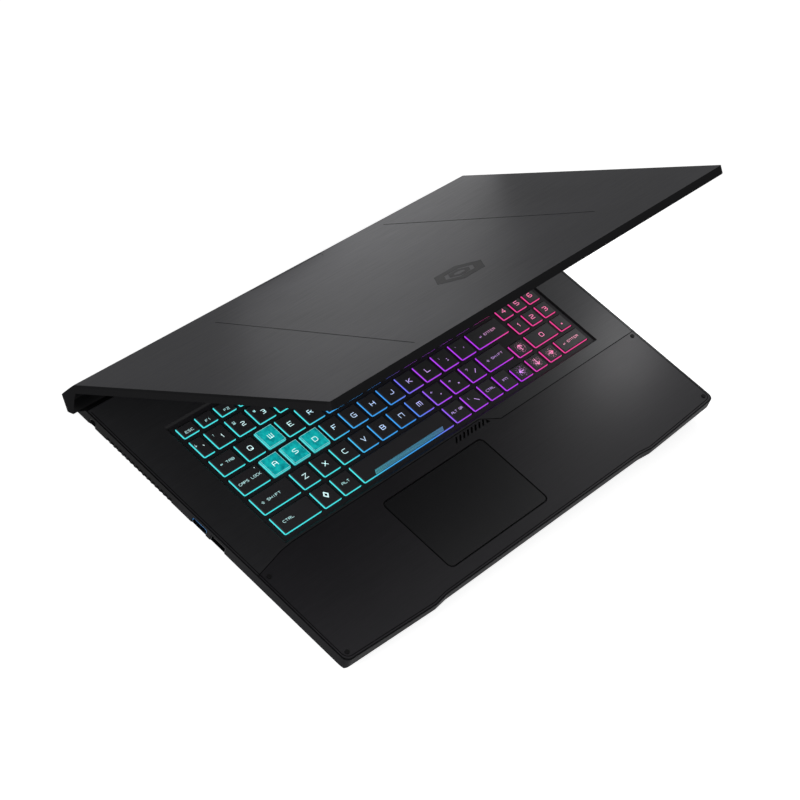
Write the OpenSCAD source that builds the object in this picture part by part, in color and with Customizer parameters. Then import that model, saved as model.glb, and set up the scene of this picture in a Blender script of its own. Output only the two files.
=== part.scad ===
// Laptop computer with a 17.3 inch display, lid part open.
// Millimetres. +Z up, +X to the user's right, -Y towards the user.
// The origin is the middle of the footprint on the table.

/* [Base] */
// Width of the base and of the lid
body_w = 398; // [360:1:430]
// Depth of the top deck, from the front edge to the rear slope
deck_d = 247.95; // [224:0.05:270]
// Height of the deck's top above the table
deck_top = 20.1; // [19.9:0.1:21.5]
// Thickness of the two deck plates
plate_t = 1.2; // [1:0.1:1.3]
// Thickness of the base's plastic walls
wall = 2; // [1.6:0.1:2.4]
// Height of the rubber feet
foot_h = 2.6; // [1.8:0.1:3]
// Radius of the base's corners in plan
corner_r = 5; // [3:0.5:8]
// How far the front edge's corners lie behind its furthest points
front_bow = 3.6; // [1:0.1:5]
// Depth of the shallow recess along the middle of the front edge
front_notch = 1.6; // [0:0.1:2.5]

/* [Lid] */
// Angle at which the lid stands open
lid_open = 41.2; // [15:0.1:80]
// Thickness of the lid
lid_t = 5.6; // [5.4:0.1:7]
// Gap between the closed lid and the deck
lid_gap = 0.9; // [0.7:0.1:1.5]
// Wall of the lid's back cover
lid_wall = 1.5; // [1.2:0.1:1.8]
// Width of the frame beside the display's lit area
side_bezel = 8.05; // [7:0.05:14]
// Depth of the frame at the free edge, which holds the camera
top_bezel = 10.5; // [9:0.1:16]
// Depth of the frame at the hinge edge
chin_bezel = 20.45; // [18:0.05:30]
// Height of the hinge axis above the table
hinge_z = 11.66; // [11.4:0.02:12]
// Distance from the rear end of the deck's top to the hinge axis
hinge_back = 13.65; // [13.3:0.05:14.5]
// Distance of each hinge from the base's side
hinge_side = 47; // [42:1:80]

/* [Keyboard] */
// Pitch of the letter keys
pitch = 19.2; // [18.9:0.05:19.3]
// Gap between neighbouring keycaps
key_gap = 3.1; // [2.8:0.1:3.6]
// Height of a keycap above the well's floor
key_rise = 1.5; // [1:0.1:1.6]
// Length that a keycap dips into its window at rest
key_dip = 0.8; // [0.5:0.1:1]
// Travel of a key
key_travel = 1.6; // [1.2:0.1:1.7]
// Clearance around a keycap in its window
key_clear = 0.4; // [0.3:0.05:0.6]
// How far a keycap's top is narrower than its foot on each side
key_taper = 0.9; // [0.5:0.1:1.3]

/* [Touchpad] */
// Width of the touchpad
pad_w = 102.5; // [90:0.5:114]
// Depth of the palm rest in front of the touchpad
pad_edge = 14.25; // [12:0.25:20]
// Gap around the touchpad
pad_clear = 0.5; // [0.3:0.1:0.8]

/* [Cooling] */
// Radius of the fans' impellers
fan_r = 35; // [31:0.5:36]
// Number of blades of an impeller
blades = 33; // [21:2:41]
// Spacing of the radiator fins
fin_pitch = 1.6; // [1.4:0.1:2.4]

/* [Hidden] */
eps = 0.01;
seat = 0.3;
half_w = body_w / 2;
hinge_x = half_w - hinge_side;
key_floor = deck_top - plate_t;
hinge_y = deck_d / 2 + 1.275;
rear_top = hinge_y - hinge_back;
front_y = rear_top - deck_d;
rear_low = [hinge_y - 6.65, hinge_z + 0.54];
rear_mid = [hinge_y - 9.25, hinge_z - 3.66];
rear_foot = [hinge_y - 12.45, foot_h];
side_low = hinge_z - 1.16;
band_low = deck_top - 7.4;
side_in = 12;
front_low = deck_top - 5.6;
front_in = 18;
rim = 0.6;
plate_clear = 0.3;
floor_z = foot_h + wall;
notch_x = half_w - 94;
notch_step = 12;

// Keyboard
key_shift = 0.2;
key_setback = 111.8;
home_y = rear_top - key_setback;
short_key = 10;
well_margin = 3.6;
grid_t = 3.3;
sheet_t = 0.6;
steel_t = 0.6;
grid_low = key_floor - grid_t;
sheet_low = grid_low - sheet_t;
steel_low = sheet_low - steel_t;
main_units = 14.38;
block_units = 16.85;
key_left = key_shift - (block_units * pitch - key_gap) / 2;
numpad_start = 14.457;
numpad_rise = pitch * 5 / 6;
f_unit = main_units / 16;
keys_right = key_left + block_units * pitch - key_gap;
keys_front = home_y - 2 * pitch;
keys_rear = home_y + 3 * pitch + short_key;
cap_low = key_floor - key_dip;
cap_top = key_floor + key_rise;
cap_skin = 0.8;

// Palm rest
seam_y = keys_front - 6.6;
seam_gap = 0.4;
pad_x = -36.1;
pad_rear = seam_y - 12.4;
pad_d = pad_rear - front_y - pad_edge;
pad_t = 1;
pad_low = deck_top - pad_t;

// Hinges
knuckle_r = 3.2;
pin_r = 2;
pin_clear = 0.05;
knuckle_w = 10;
arm_w = 6;
side_clear = 0.3;
strap_t = 1.4;

// Lid, described in its closed place
lid_low = deck_top + lid_gap;
lid_top = lid_low + lid_t;
lid_step = 2.2;
lid_d = deck_d - lid_step;
lid_rear = hinge_y - 10.1;
lid_front = lid_rear - lid_d;
chin_back = [hinge_y + 8.75, hinge_z + 6.84];
chin_foot = [hinge_y + 7.85, hinge_z - 3.91];
chin_toe = [hinge_y - 0.6, hinge_z - 5.86];
chin_brow = [hinge_y - 6.97, hinge_z + 4.85];
chin_seat = [hinge_y - 10.6, lid_low];
bezel_t = 1;
panel_t = 2.6;
screen_w = body_w - 2 * side_bezel;
screen_d = lid_d - top_bezel - chin_bezel;
screen_front = lid_front + top_bezel;

// ---- Outlines and prisms -------------------------------------------------

function arc(c, r, a0, a1, n) = [for (i = [0 : n]) c + r * [cos(a0 + (a1 - a0) * i / n), sin(a0 + (a1 - a0) * i / n)]];

// Rounded rectangle from corner a to corner b
function round_rect(a, b, r, n = 4) = concat(
    arc([b.x - r, b.y - r], r, 0, 90, n), arc([a.x + r, b.y - r], r, 90, 180, n),
    arc([a.x + r, a.y + r], r, 180, 270, n), arc([b.x - r, a.y + r], r, 270, 360, n));

function rect(a, b) = [a, [b.x, a.y], b, [a.x, b.y]];

// Prism between two heights over an outline in plan
module slab(z0, z1, pts) translate([0, 0, z0]) linear_extrude(z1 - z0) polygon(pts);

// Prism between two sides over a (y, z) outline
module across(x0, x1, pts) translate([x0, 0, 0]) rotate([90, 0, 90]) linear_extrude(x1 - x0) polygon(pts);

// Prism between front and rear over an (x, z) outline
module along(y0, y1, pts) translate([0, y1, 0]) rotate([90, 0, 0]) linear_extrude(y1 - y0) polygon(pts);

module box(a, b) translate(a) cube(b - a);

// Ribbon of a width w that follows points in plan, with mitred bends
function side_of(p, i, w) = let (
    d0 = i == 0 ? p[1] - p[0] : p[i] - p[i - 1],
    d1 = i == len(p) - 1 ? d0 : p[i + 1] - p[i],
    n0 = [-d0.y, d0.x] / norm(d0), n1 = [-d1.y, d1.x] / norm(d1))
    p[i] + (n0 + n1) * w / (1 + n0 * n1);
function ribbon(p, w) = concat([for (i = [0 : len(p) - 1]) side_of(p, i, -w / 2)],
    [for (i = [len(p) - 1 : -1 : 0]) side_of(p, i, w / 2)]);

// ---- The base's envelope --------------------------------------------------

function base_plan(t) = let (w = half_w - t, f = front_y + t, c = f + front_bow, r = corner_r)
    concat(arc([-w + r, c + r], r, 180, 270, 6),
        [[-notch_x - notch_step, f], [-notch_x, f + front_notch], [notch_x, f + front_notch], [notch_x + notch_step, f]],
        arc([w - r, c + r], r, 270, 360, 6), [[w, rear_low.x + 1], [-w, rear_low.x + 1]]);

function front_view(t) = let (w = half_w - t)
    [[-w, deck_top], [-w, band_low], [side_in - w, foot_h + t], [w - side_in, foot_h + t], [w, band_low], [w, deck_top]];

function side_view(t) = [[front_y + t, deck_top], [front_y + t, front_low], [front_y + front_in + t, foot_h + t],
    [rear_foot.x - t, foot_h + t], [rear_mid.x - t, rear_mid.y], [rear_low.x - t, rear_low.y],
    [rear_top - t, deck_top]];

module envelope(t = 0) intersection() {
    slab(foot_h, deck_top, base_plan(t));
    along(front_y - 1, rear_low.x + 1, front_view(t));
    across(-half_w - 1, half_w + 1, side_view(t));
}

// ---- Ports in the side walls ----------------------------------------------

fan_x = half_w - 73;
fan_y = rear_top - 53.6;

board_t = 1.2;
board_top = side_low + board_t;
usb_w = 13.2;
usb_h = 5.8;
usb_depth = 15;
port_z = board_top + usb_h / 2;
left_usb_y = [home_y + 1.1, home_y - 16.4];
right_usb_y = home_y - 21.8;
type_c_y = home_y - 37.8;
type_c_w = 9;
type_c_h = 3.4;
type_c_z = board_top + type_c_h / 2;
video_y = home_y - 2.8;
video_w = 15;
video_h = 5.6;
network_y = home_y + 18.2;
network_w = 12.6;
network_h = 9;
network_depth = 14;
network_z = key_floor - 0.2 - network_h / 2;
audio_y = home_y - 51.8;
audio_bore = 1.8;
audio_r = 3;
audio_z = board_top + audio_r;
power_y = rear_top - 7.6;
power_r = 3.4;
side_port_cut = 7;

// Opening of a port through a side wall; side is -1 on the left, 1 on the right
module port_cut(side, y, z, w, h, c = 0.25) {
    x = side > 0 ? half_w - side_port_cut : -half_w - 1;
    box([x, y - w / 2 - c, z - h / 2 - c], [x + side_port_cut + 1, y + w / 2 + c, z + h / 2 + c]);
}

module round_port_cut(side, y, z, r, c = 0.25)
    translate([side * (half_w - side_port_cut), y, z]) rotate([0, side * 90, 0])
        cylinder(h = side_port_cut + 1, r = r + c, $fn = 40);

// Outlet slots in the side walls and the rear slope
outlet_pitch = 4;
side_outlet = [fan_y - 32, fan_y + 32];
rear_outlet = [fan_x - 36, fan_x + 12];

module side_outlet_cuts(side) for (y = [side_outlet[0] : outlet_pitch : side_outlet[1] - outlet_pitch])
    port_cut(side, y + outlet_pitch / 2, port_z - 1.2, outlet_pitch - 1.6, 4.4, 0);

module rear_outlet_cuts() for (side = [-1, 1]) for (x = [rear_outlet[0] : outlet_pitch : rear_outlet[1] - outlet_pitch])
    box([side * (x + 2) - 1.2, rear_top - wall, deck_top - 6.6], [side * (x + 2) + 1.2, rear_low.x + 2, deck_top - 2]);

// Slot that a hinge bracket's strap passes through
module hinge_slot(side) box(
    [side * hinge_x - knuckle_w / 2 - side_clear, rear_top - 4, hinge_z - strap_t / 2 - 0.2],
    [side * hinge_x + knuckle_w / 2 + side_clear, rear_low.x + 2, hinge_z + strap_t / 2 + 0.2]);

// ---- Base shell -----------------------------------------------------------

foot_len = 96;
front_foot = [30, 8];
foot_sink = 0.6;
screw_r = 1.5;
screw_head_r = 2.8;
screw_head_h = 1.2;
boss_r = 3.4;
speaker_x = half_w - 34;
speaker_y = front_y + 47;
speaker_size = [34, 22, 8];
hinge_screw_y = rear_top - 6.6;
side_screw_x = half_w - 21;
plain_screws = [for (s = [-1, 1]) for (p = [[side_screw_x, front_y + 66.35], [60, front_y + 20.35],
    [side_screw_x, fan_y - 40]]) [s * p.x, p.y]];
hinge_screws = [for (s = [-1, 1]) [s * (hinge_x + 23), hinge_screw_y]];
screw_at = concat(plain_screws, hinge_screws, [[0, rear_top - 15.6]]);

// Slanted intake slots under one fan
module intake(side) for (row = [-1 : 1]) for (i = [-8 : 8])
    translate([side * fan_x + i * 4, fan_y + row * 21])
        polygon([[-2.6, -8], [-0.6, -8], [2.6, 8], [0.6, 8]]);

module feet_outlines(c = 0) {
    rear_y = rear_foot.x - 9;
    polygon(round_rect([-foot_len - c, rear_y - 4 - c], [foot_len + c, rear_y + 4 + c], 3));
    for (s = [-1, 1]) translate([s * (half_w - 49), front_y + front_in + 6])
        polygon(round_rect([-front_foot.x / 2 - c, -c], [front_foot.x / 2 + c, front_foot.y + c], 3));
}

module bottom_cover() color("#1d1d1f") difference() {
    intersection() {
        envelope();
        box([-half_w, front_y, foot_h], [half_w, rear_low.x + 2, side_low]);
    }
    difference() {
        envelope(wall);
        for (p = screw_at) translate([p.x, p.y, foot_h]) cylinder(h = 5, r = boss_r, $fn = 32);
        for (p = hinge_screws) translate([p.x, p.y, foot_h])
            cylinder(h = hinge_z - strap_t / 2 - foot_h, r = boss_r, $fn = 32);
    }
    translate([0, 0, foot_h - 1]) linear_extrude(wall + 2) {
        intake(-1);
        intake(1);
    }
    for (s = [-1, 1]) for (i = [-5 : 5]) translate([s * speaker_x + 2.8 * i, speaker_y, foot_h - 1])
        box([-0.7, -6, 0], [0.7, 6, wall + 2]);
    port_cut(1, network_y, network_z, network_w, network_h);
    translate([0, 0, foot_h - eps]) linear_extrude(foot_sink + eps) feet_outlines(0.2);
    for (p = screw_at) translate([p.x, p.y, foot_h - 1]) {
        cylinder(h = 9, r = screw_r + 0.1, $fn = 32);
        cylinder(h = 1 + screw_head_h, r = screw_head_r + 0.2, $fn = 32);
    }
}

module side_frame() color("#4a4a4a") difference() {
    intersection() {
        envelope();
        box([-half_w, front_y, side_low], [half_w, rear_low.x + 2, deck_top - 0.3]);
    }
    intersection() {
        envelope(wall);
        box([-half_w, front_y, side_low - 1], [half_w, rear_low.x + 2, key_floor + 1]);
    }
    intersection() {
        envelope(rim);
        box([-half_w, front_y, key_floor], [half_w, rear_low.x + 2, deck_top + 1]);
    }
    for (y = left_usb_y) port_cut(-1, y, port_z, usb_w, usb_h);
    port_cut(1, right_usb_y, port_z, usb_w, usb_h);
    port_cut(1, type_c_y, type_c_z, type_c_w, type_c_h);
    port_cut(1, video_y, port_z, video_w, video_h);
    port_cut(1, network_y, network_z, network_w, network_h);
    round_port_cut(1, audio_y, audio_z, audio_r);
    round_port_cut(-1, power_y, port_z, power_r);
    for (s = [-1, 1]) side_outlet_cuts(s);
    rear_outlet_cuts();
    for (s = [-1, 1]) hinge_slot(s);
}

// The seam between deck and palm rest, moved by dy
function seam(dy) = [[-half_w, seam_y - 7.1 + dy], [-171, seam_y - 0.9 + dy], [-160, seam_y + dy], [27.5, seam_y + dy],
    [42, seam_y - 8.4 + dy], [half_w, seam_y - 8.2 + dy]];

module deck_blank() intersection() {
    envelope(rim + plate_clear);
    box([-half_w, front_y, key_floor], [half_w, rear_low.x, deck_top + 1]);
}

well_a = [key_left - well_margin, keys_front - well_margin];
well_b = [keys_right + well_margin, keys_rear + well_margin];
well_slope = 1.5;
button_at = [half_w - 49, fan_y + 30];
button_size = [17, 7];
button_clear = 0.3;

module keyboard_deck() color("#2b2b2d") difference() {
    deck_blank();
    slab(key_floor - 1, deck_top + 1, concat(seam(seam_gap / 2), [[half_w, front_y - 9], [-half_w, front_y - 9]]));
    intersection() {
        across(well_a.x - 9, well_b.x + 9, [[well_a.y, key_floor - eps], [well_b.y, key_floor - eps],
            [well_b.y + well_slope, deck_top + eps], [well_a.y - well_slope, deck_top + eps]]);
        along(well_a.y - 9, well_b.y + 9, [[well_a.x, key_floor - eps], [well_b.x, key_floor - eps],
            [well_b.x + well_slope, deck_top + eps], [well_a.x - well_slope, deck_top + eps]]);
    }
    slab(key_floor - 1, deck_top + 1, round_rect(button_at - button_size / 2, button_at + button_size / 2, 2));
}

slot_pitch = 4.1;
slot_count = 8;
slot_len = 4;
slot_w = 1.3;
bumper_r = 1.6;
bumper_at = [for (s = [-1, 1]) for (y = [seam_y - 11.4, front_y + 9.4]) [s * (half_w - 6), y]];

module palm_rest() color("#1a191b") difference() {
    deck_blank();
    slab(key_floor - 1, deck_top + 1, concat(seam(-seam_gap / 2), [[half_w, rear_low.x + 9], [-half_w, rear_low.x + 9]]));
    slab(key_floor - 1, deck_top + 1, round_rect([pad_x - pad_w / 2, pad_rear - pad_d],
        [pad_x + pad_w / 2, pad_rear], 4));
    for (i = [0 : slot_count - 1]) translate([0.2 + i * slot_pitch, seam_y - 1.4])
        slab(key_floor - 1, deck_top + 1, [[0, 0], [-slot_len, -slot_len], [slot_w - slot_len, -slot_len - slot_w / 2], [slot_w, -slot_w / 2]]);
    translate([0.2 + slot_count * slot_pitch, seam_y - 2.6])
        slab(key_floor - 1, deck_top + 1, [[-3.6, -3], [0.4, -3.2], [-1.4, 0]]);
    for (p = bumper_at) translate([p.x, p.y, deck_top - 0.6]) cylinder(h = 2, r = bumper_r + 0.1, $fn = 24);
}

module rubber_feet() color("#141414") linear_extrude(foot_h + foot_sink) feet_outlines();

module cover_screws() color("#303030") for (p = screw_at) translate([p.x, p.y, foot_h + 0.2]) difference() {
    union() {
        cylinder(h = screw_head_h - 0.2, r = screw_head_r, $fn = 32);
        cylinder(h = 7, r = screw_r, $fn = 32);
    }
    translate([0, 0, -1]) for (a = [0, 90]) rotate(a) box([-1.6, -0.35, 0], [1.6, 0.35, 1.5]);
}

module deck_bumpers() color("#101010") for (p = bumper_at)
    translate([p.x, p.y, deck_top - 0.6]) cylinder(h = 0.6 + lid_gap - 0.4, r = bumper_r, $fn = 24);

// ---- Keyboard ---------------------------------------------------------------

// A key is [left, front, width, depth]. Rows are given as key widths in pitches.
function start_of(units, i) = i == 0 ? 0 : start_of(units, i - 1) + units[i - 1];
function key_at(from, units, front, depth) = [key_left + from * pitch, front, units * pitch - key_gap, depth - key_gap];
function row_keys(units, row, from = 0) = [for (i = [0 : len(units) - 1])
    key_at(from + start_of(units, i), units[i], home_y + row * pitch, pitch)];
function drop(keys, out) = [for (i = [0 : len(keys) - 1]) if (len(search(i, out)) == 0) keys[i]];
function ones(n) = [for (i = [1 : n]) 1];

top_row = [for (i = [0 : 15]) key_at(i * f_unit, f_unit, home_y + 3 * pitch, short_key + key_gap)];
number_row = row_keys(concat([0.7], ones(12), [main_units - 12.7]), 2);
upper_row = row_keys(concat([1.2], ones(12), [main_units - 13.2]), 1);
home_row = row_keys(concat([1.45], ones(11), [main_units - 12.45]), 0);
lower_row = row_keys(concat([1.95], ones(10), [1.565]), -1);
bottom_row = row_keys([1.97, 1, 1, 4.97, 1, 0.96, 0.87, 0.87], -2);
arrow_row = [for (k = [[12.64, 0.9], [13.54, 0.87], [14.41, 0.87], [15.28, block_units - 15.28]])
    key_at(k[0], k[1], keys_front, numpad_rise)];
up_arrow = key_at(13.515, numpad_start - 13.515, keys_front + numpad_rise, numpad_rise);
pad_unit = (block_units - numpad_start) / 3;
zero_row = [key_at(numpad_start, 2 * pad_unit, keys_front + numpad_rise, numpad_rise),
    key_at(numpad_start + 2 * pad_unit, pad_unit, keys_front + numpad_rise, numpad_rise)];
pad_block = [for (r = [2 : 6]) for (c = [0 : 2]) key_at(numpad_start + c * pad_unit, pad_unit,
    keys_front + r * numpad_rise, r == 6 ? short_key + key_gap : numpad_rise)];

function all_keys() = concat(top_row, number_row, upper_row, home_row, lower_row, bottom_row, arrow_row,
    [up_arrow], zero_row, pad_block);

cap_r = 1.2;
cap_side = 1.5;

module keycap(k) {
    a = [k[0], k[1]];
    b = a + [k[2], k[3]];
    in = [cap_side + key_taper, cap_side + key_taper];
    difference() {
        intersection() {
            slab(cap_low, cap_top, round_rect(a, b, cap_r, 3));
            along(a.y - 1, b.y + 1, [[a.x, cap_low], [b.x, cap_low], [b.x, key_floor], [b.x - key_taper, cap_top],
                [a.x + key_taper, cap_top], [a.x, key_floor]]);
            across(a.x - 1, b.x + 1, [[a.y, cap_low], [b.y, cap_low], [b.y, key_floor], [b.y - key_taper, cap_top],
                [a.y + key_taper, cap_top], [a.y, key_floor]]);
        }
        slab(cap_low - 1, cap_top - cap_skin, rect(a + in, b - in));
    }
}

module keycaps(keys, tint = "#232325") color(tint) for (k = keys) keycap(k);

module key_w() keycaps([upper_row[2]], "#11b5b8");
module key_a() keycaps([home_row[1]], "#11b5b8");
module key_s() keycaps([home_row[2]], "#11b5b8");
module key_d() keycaps([home_row[3]], "#11b5b8");
module space_bar() keycaps([bottom_row[3]]);
module enter_key() keycaps([home_row[12]]);
module left_shift_key() keycaps([lower_row[0]]);
module up_key() keycaps([up_arrow]);
module left_key() keycaps([arrow_row[0]]);
module down_key() keycaps([arrow_row[1]]);
module right_key() keycaps([arrow_row[2]]);
module function_keys() keycaps(top_row);
module number_keys() keycaps(number_row);
module upper_letter_keys() keycaps(drop(upper_row, [2]));
module home_letter_keys() keycaps(drop(home_row, [1, 2, 3, 12]));
module lower_letter_keys() keycaps(drop(lower_row, [0]));
module control_keys() keycaps(drop(bottom_row, [3]));
module numpad_keys() keycaps(concat([arrow_row[3]], zero_row, pad_block));

grid_a = well_a - [4, 2];
grid_b = well_b + [4, 4];
key_mid = (keys_front + keys_rear) / 2;

// Guide frame with one window for each key
module key_grid() color("#202022") difference() {
    slab(grid_low, key_floor, round_rect(grid_a, grid_b, 3));
    for (k = all_keys()) slab(grid_low - 1, key_floor + 1,
        rect([k[0], k[1]] - [key_clear, key_clear], [k[0] + k[2], k[1] + k[3]] + [key_clear, key_clear]));
}

module dome_sheet() color("#9a9a9e") {
    slab(sheet_low, grid_low, round_rect(grid_a, grid_b, 3));
    for (k = all_keys()) translate([k[0] + k[2] / 2, k[1] + k[3] / 2, grid_low])
        cylinder(h = key_dip - 0.1, r1 = 2.6, r2 = 1.7, $fn = 20);
}

module keyboard_plate() color("#77797c") difference() {
    slab(steel_low, sheet_low, round_rect(grid_a, grid_b, 3));
    for (x = [key_left + 20 : 40 : keys_right]) for (y = [keys_front + 4, key_mid, keys_rear - 4])
        translate([x, y, steel_low - 1]) cylinder(h = steel_t + 2, r = 2, $fn = 24);
}

// ---- Touchpad -----------------------------------------------------------------

pad_sink = 0.1;
pad_board = 0.8;
pad_under = pad_low - pad_board - pad_sink;
pad_swing = 0.9;
bracket_t = 0.8;
bracket_top = pad_under - pad_swing - 0.3;
bracket_edge = 6;
switch_h = 0.5;
pad_a = [pad_x - pad_w / 2, pad_rear - pad_d];
pad_b = [pad_x + pad_w / 2, pad_rear];
pad_gap = [pad_clear, pad_clear];

module touchpad() color("#1c1b1d") slab(pad_under, deck_top - pad_sink,
    round_rect(pad_a + pad_gap, pad_b - pad_gap, 4 - pad_clear));

module touchpad_bracket() color("#8c8f93") difference() {
    slab(bracket_top - bracket_t, key_floor, rect(pad_a - [bracket_edge, 2], pad_b + [bracket_edge, 4]));
    slab(bracket_top, key_floor + 1, rect([pad_a.x - 1, pad_a.y - 3], [pad_b.x + 1, pad_b.y - 1]));
    slab(pad_under - 0.1, key_floor + 1, rect([pad_a.x - 1, pad_a.y], [pad_b.x + 1, pad_b.y + 0.4]));
    for (i = [-1, 1]) slab(bracket_top - bracket_t - 1, key_floor + 1,
        rect([pad_x + i * pad_w / 4 - 14, pad_a.y + 16], [pad_x + i * pad_w / 4 + 14, pad_b.y - 14]));
}

module touchpad_switch() color("#c8c8c8") translate([pad_x, pad_a.y + 8, bracket_top]) {
    slab(0, switch_h - 0.3, rect([-3, -3], [3, 3]));
    cylinder(h = switch_h, r = 1.5, $fn = 24);
}

button_travel = 0.5;
button_rise = 0.2;
module power_button() color("#3a3a3d") {
    g = [button_clear, button_clear];
    slab(key_floor - 1, deck_top + button_rise, round_rect(button_at - button_size / 2 + g, button_at + button_size / 2 - g, 2 - button_clear));
    slab(key_floor - 1, key_floor - seat, round_rect(button_at - button_size / 2 - g, button_at + button_size / 2 + g, 2));
}

// ---- Inside the base ------------------------------------------------------------

chip_t = 1;
cpu_at = [-34, fan_y + 4];
gpu_at = [36, fan_y - 2];
spread_t = 1.2;
pipe_t = 2.2;
pipe_w = 7;
chip_low = side_low - chip_t;
spread_low = chip_low - spread_t;
pipe_low = spread_low - pipe_t;
fan_half = 42;
fan_low = floor_z + seat;
fan_top = steel_low - 0.6;
fan_skin = 0.8;
shaft_r = 1.5;
hub_r = 11;
inlet_r = fan_r - 8;
fin_t = 0.4;
fin_top = fan_top;
rear_fin_y = [fan_y + fan_half + 0.4, fan_y + fan_half + 9];
side_fin_x = [fan_x + fan_half + 0.4, fan_x + fan_half + 18];
side_fin_y = side_outlet;
board_half = fan_x - fan_half - 2;
board_front = home_y - 33.8;
board_rear = fan_y + fan_half;

module mainboard() color("#14502c") {
    jack = [half_w - rim - network_depth - 0.3, network_y - network_w / 2 - 0.3];
    lobe = fan_y - fan_half - 1;
    reach = half_w - 6;
    slab(side_low, board_top, [[-board_half, board_front], [-board_half, board_front + 4], [-reach, board_front + 4],
        [-reach, left_usb_y[0] + usb_w / 2 + 1], [-board_half, left_usb_y[0] + usb_w / 2 + 1], [-board_half, board_rear],
        [board_half, board_rear], [board_half, lobe], [jack.x, lobe], jack, [reach, jack.y],
        [reach, audio_y - 8], [half_w - 79, audio_y - 8], [half_w - 79, board_front - 12],
        [board_half - 22, board_front - 12], [board_half - 22, board_front]]);
    for (p = [cpu_at, gpu_at]) slab(chip_low, side_low, rect(p - [14, 12], p + [14, 12]));
    for (a = [0 : 5]) slab(chip_low - 0.2, side_low,
        rect(gpu_at + [a < 3 ? -30 : 18, (a % 3) * 13 - 18], gpu_at + [a < 3 ? -18 : 30, (a % 3) * 13 - 8]));
    slab(chip_low, side_low, rect([8 - board_half, fan_y - 38], [24 - board_half, fan_y - 22]));
    for (x = [14 - board_half : 8 : board_half - 14]) slab(board_top, board_top + 1.6,
        rect([x - 2.5, board_rear - 16], [x + 2.5, board_rear - 11]));
}

module heat_spreaders() color("#b87333") for (p = [cpu_at, gpu_at])
    slab(spread_low, chip_low, round_rect(p - [17, 18], p + [17, 18], 3));

// Flattened pipes from the two chips to the fin stacks
pipe_y = rear_fin_y[0] + 4.2;
module heat_pipes() color("#c07a3a") {
    slab(pipe_low, spread_low, ribbon([[-fan_x - 8, pipe_y], [6 - board_half, pipe_y], [20 - board_half, fan_y + 24],
        cpu_at + [0, 9], gpu_at + [-4, 11]], pipe_w));
    slab(pipe_low, spread_low, ribbon([[fan_x + 8, pipe_y], [board_half - 6, pipe_y], [board_half - 18, fan_y + 26],
        gpu_at + [10, 11]], pipe_w));
    slab(pipe_low, spread_low, ribbon([cpu_at - [10, 6], cpu_at + [8, -4], gpu_at + [0, 1], gpu_at + [14, 0]], pipe_w));
}

// Block of thin fins between a top and a bottom skin; air flows along Y or along X
module fins_along_y(x0, x1, y) difference() {
    box([x0, y[0], spread_low], [x1, y[1], fin_top]);
    for (x = [x0 + fin_t : fin_pitch : x1 - fin_pitch])
        box([x, y[0] - 1, spread_low + fin_t], [x + fin_pitch - fin_t, y[1] + 1, fin_top - fin_t]);
}

module fins_along_x(x0, x1, y) difference() {
    box([x0, y[0], spread_low], [x1, y[1], fin_top]);
    for (v = [y[0] + fin_t : fin_pitch : y[1] - fin_pitch])
        box([x0 - 1, v, spread_low + fin_t], [x1 + 1, v + fin_pitch - fin_t, fin_top - fin_t]);
}

module fin_stacks() color("#b9bcc0") {
    fins_along_y(-rear_outlet[1], -rear_outlet[0], rear_fin_y);
    fins_along_y(rear_outlet[0], rear_outlet[1], rear_fin_y);
    fins_along_x(-side_fin_x[1], -side_fin_x[0], side_fin_y);
    fins_along_x(side_fin_x[0], side_fin_x[1], side_fin_y);
}

module fan_housing(side) color("#26272a") translate([side * fan_x, fan_y, 0]) mirror([side < 0 ? 1 : 0, 0, 0]) {
    h = fan_half;
    difference() {
        box([-h, -h, fan_low], [h, h, fan_top]);
        box([-h + 1, -h + 1, fan_low + fan_skin], [h - 1, h - 1, fan_top - fan_skin]);
        box([rear_outlet[0] - fan_x, h - 2, spread_low + 0.4], [rear_outlet[1] - fan_x, h + 1, fan_top - fan_skin]);
        box([h - 2, side_fin_y[0] - fan_y, spread_low + 0.4], [h + 1, side_fin_y[1] - fan_y, fan_top - fan_skin]);
        translate([0, 0, fan_low - 1]) cylinder(h = fan_skin + 2, r = inlet_r, $fn = 64);
        difference() {
            translate([0, 0, fan_top - fan_skin - 1]) cylinder(h = fan_skin + 2, r = inlet_r, $fn = 64);
            translate([0, 0, fan_top - fan_skin - 2]) cylinder(h = fan_skin + 4, r = hub_r, $fn = 48);
            for (a = [0, 60, 120]) rotate(a) box([-inlet_r - 1, -2, fan_top - fan_skin - 2], [inlet_r + 1, 2, fan_top + 2]);
        }
    }
    translate([0, 0, fan_low + fan_skin + 0.6]) cylinder(h = fan_top - fan_low - 2 * fan_skin - 0.6 + eps, r = shaft_r, $fn = 32);
}

module left_fan_housing() fan_housing(-1);
module right_fan_housing() fan_housing(1);

blade_t = 0.7;
blade_low = fan_low + fan_skin + 0.7;
blade_top = fan_top - fan_skin - 0.7;
function blade_line() = [for (i = [0 : 5]) let (r = hub_r - 0.5 + (fan_r - hub_r + 0.5) * i / 5, a = 34 * pow(i / 5, 1.4))
    r * [cos(a), sin(a)]];

module impeller(side) color("#101113") translate([side * fan_x, fan_y, 0]) mirror([side < 0 ? 1 : 0, 0, 0]) difference() {
    union() {
        translate([0, 0, blade_low]) cylinder(h = blade_top - blade_low, r = hub_r, $fn = 48);
        for (i = [0 : blades - 1]) rotate(i * 360 / blades) slab(blade_low + 0.4, blade_top - 0.4, ribbon(blade_line(), blade_t));
        difference() {
            translate([0, 0, blade_low + 2.4]) cylinder(h = 0.8, r = fan_r - 3, $fn = 64);
            translate([0, 0, blade_low + 2]) cylinder(h = 2, r = fan_r - 4, $fn = 64);
        }
    }
    translate([0, 0, blade_low - 1]) cylinder(h = blade_top - blade_low + 2, r = shaft_r + pin_clear, $fn = 32);
}

module left_impeller() impeller(-1);
module right_impeller() impeller(1);

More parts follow.
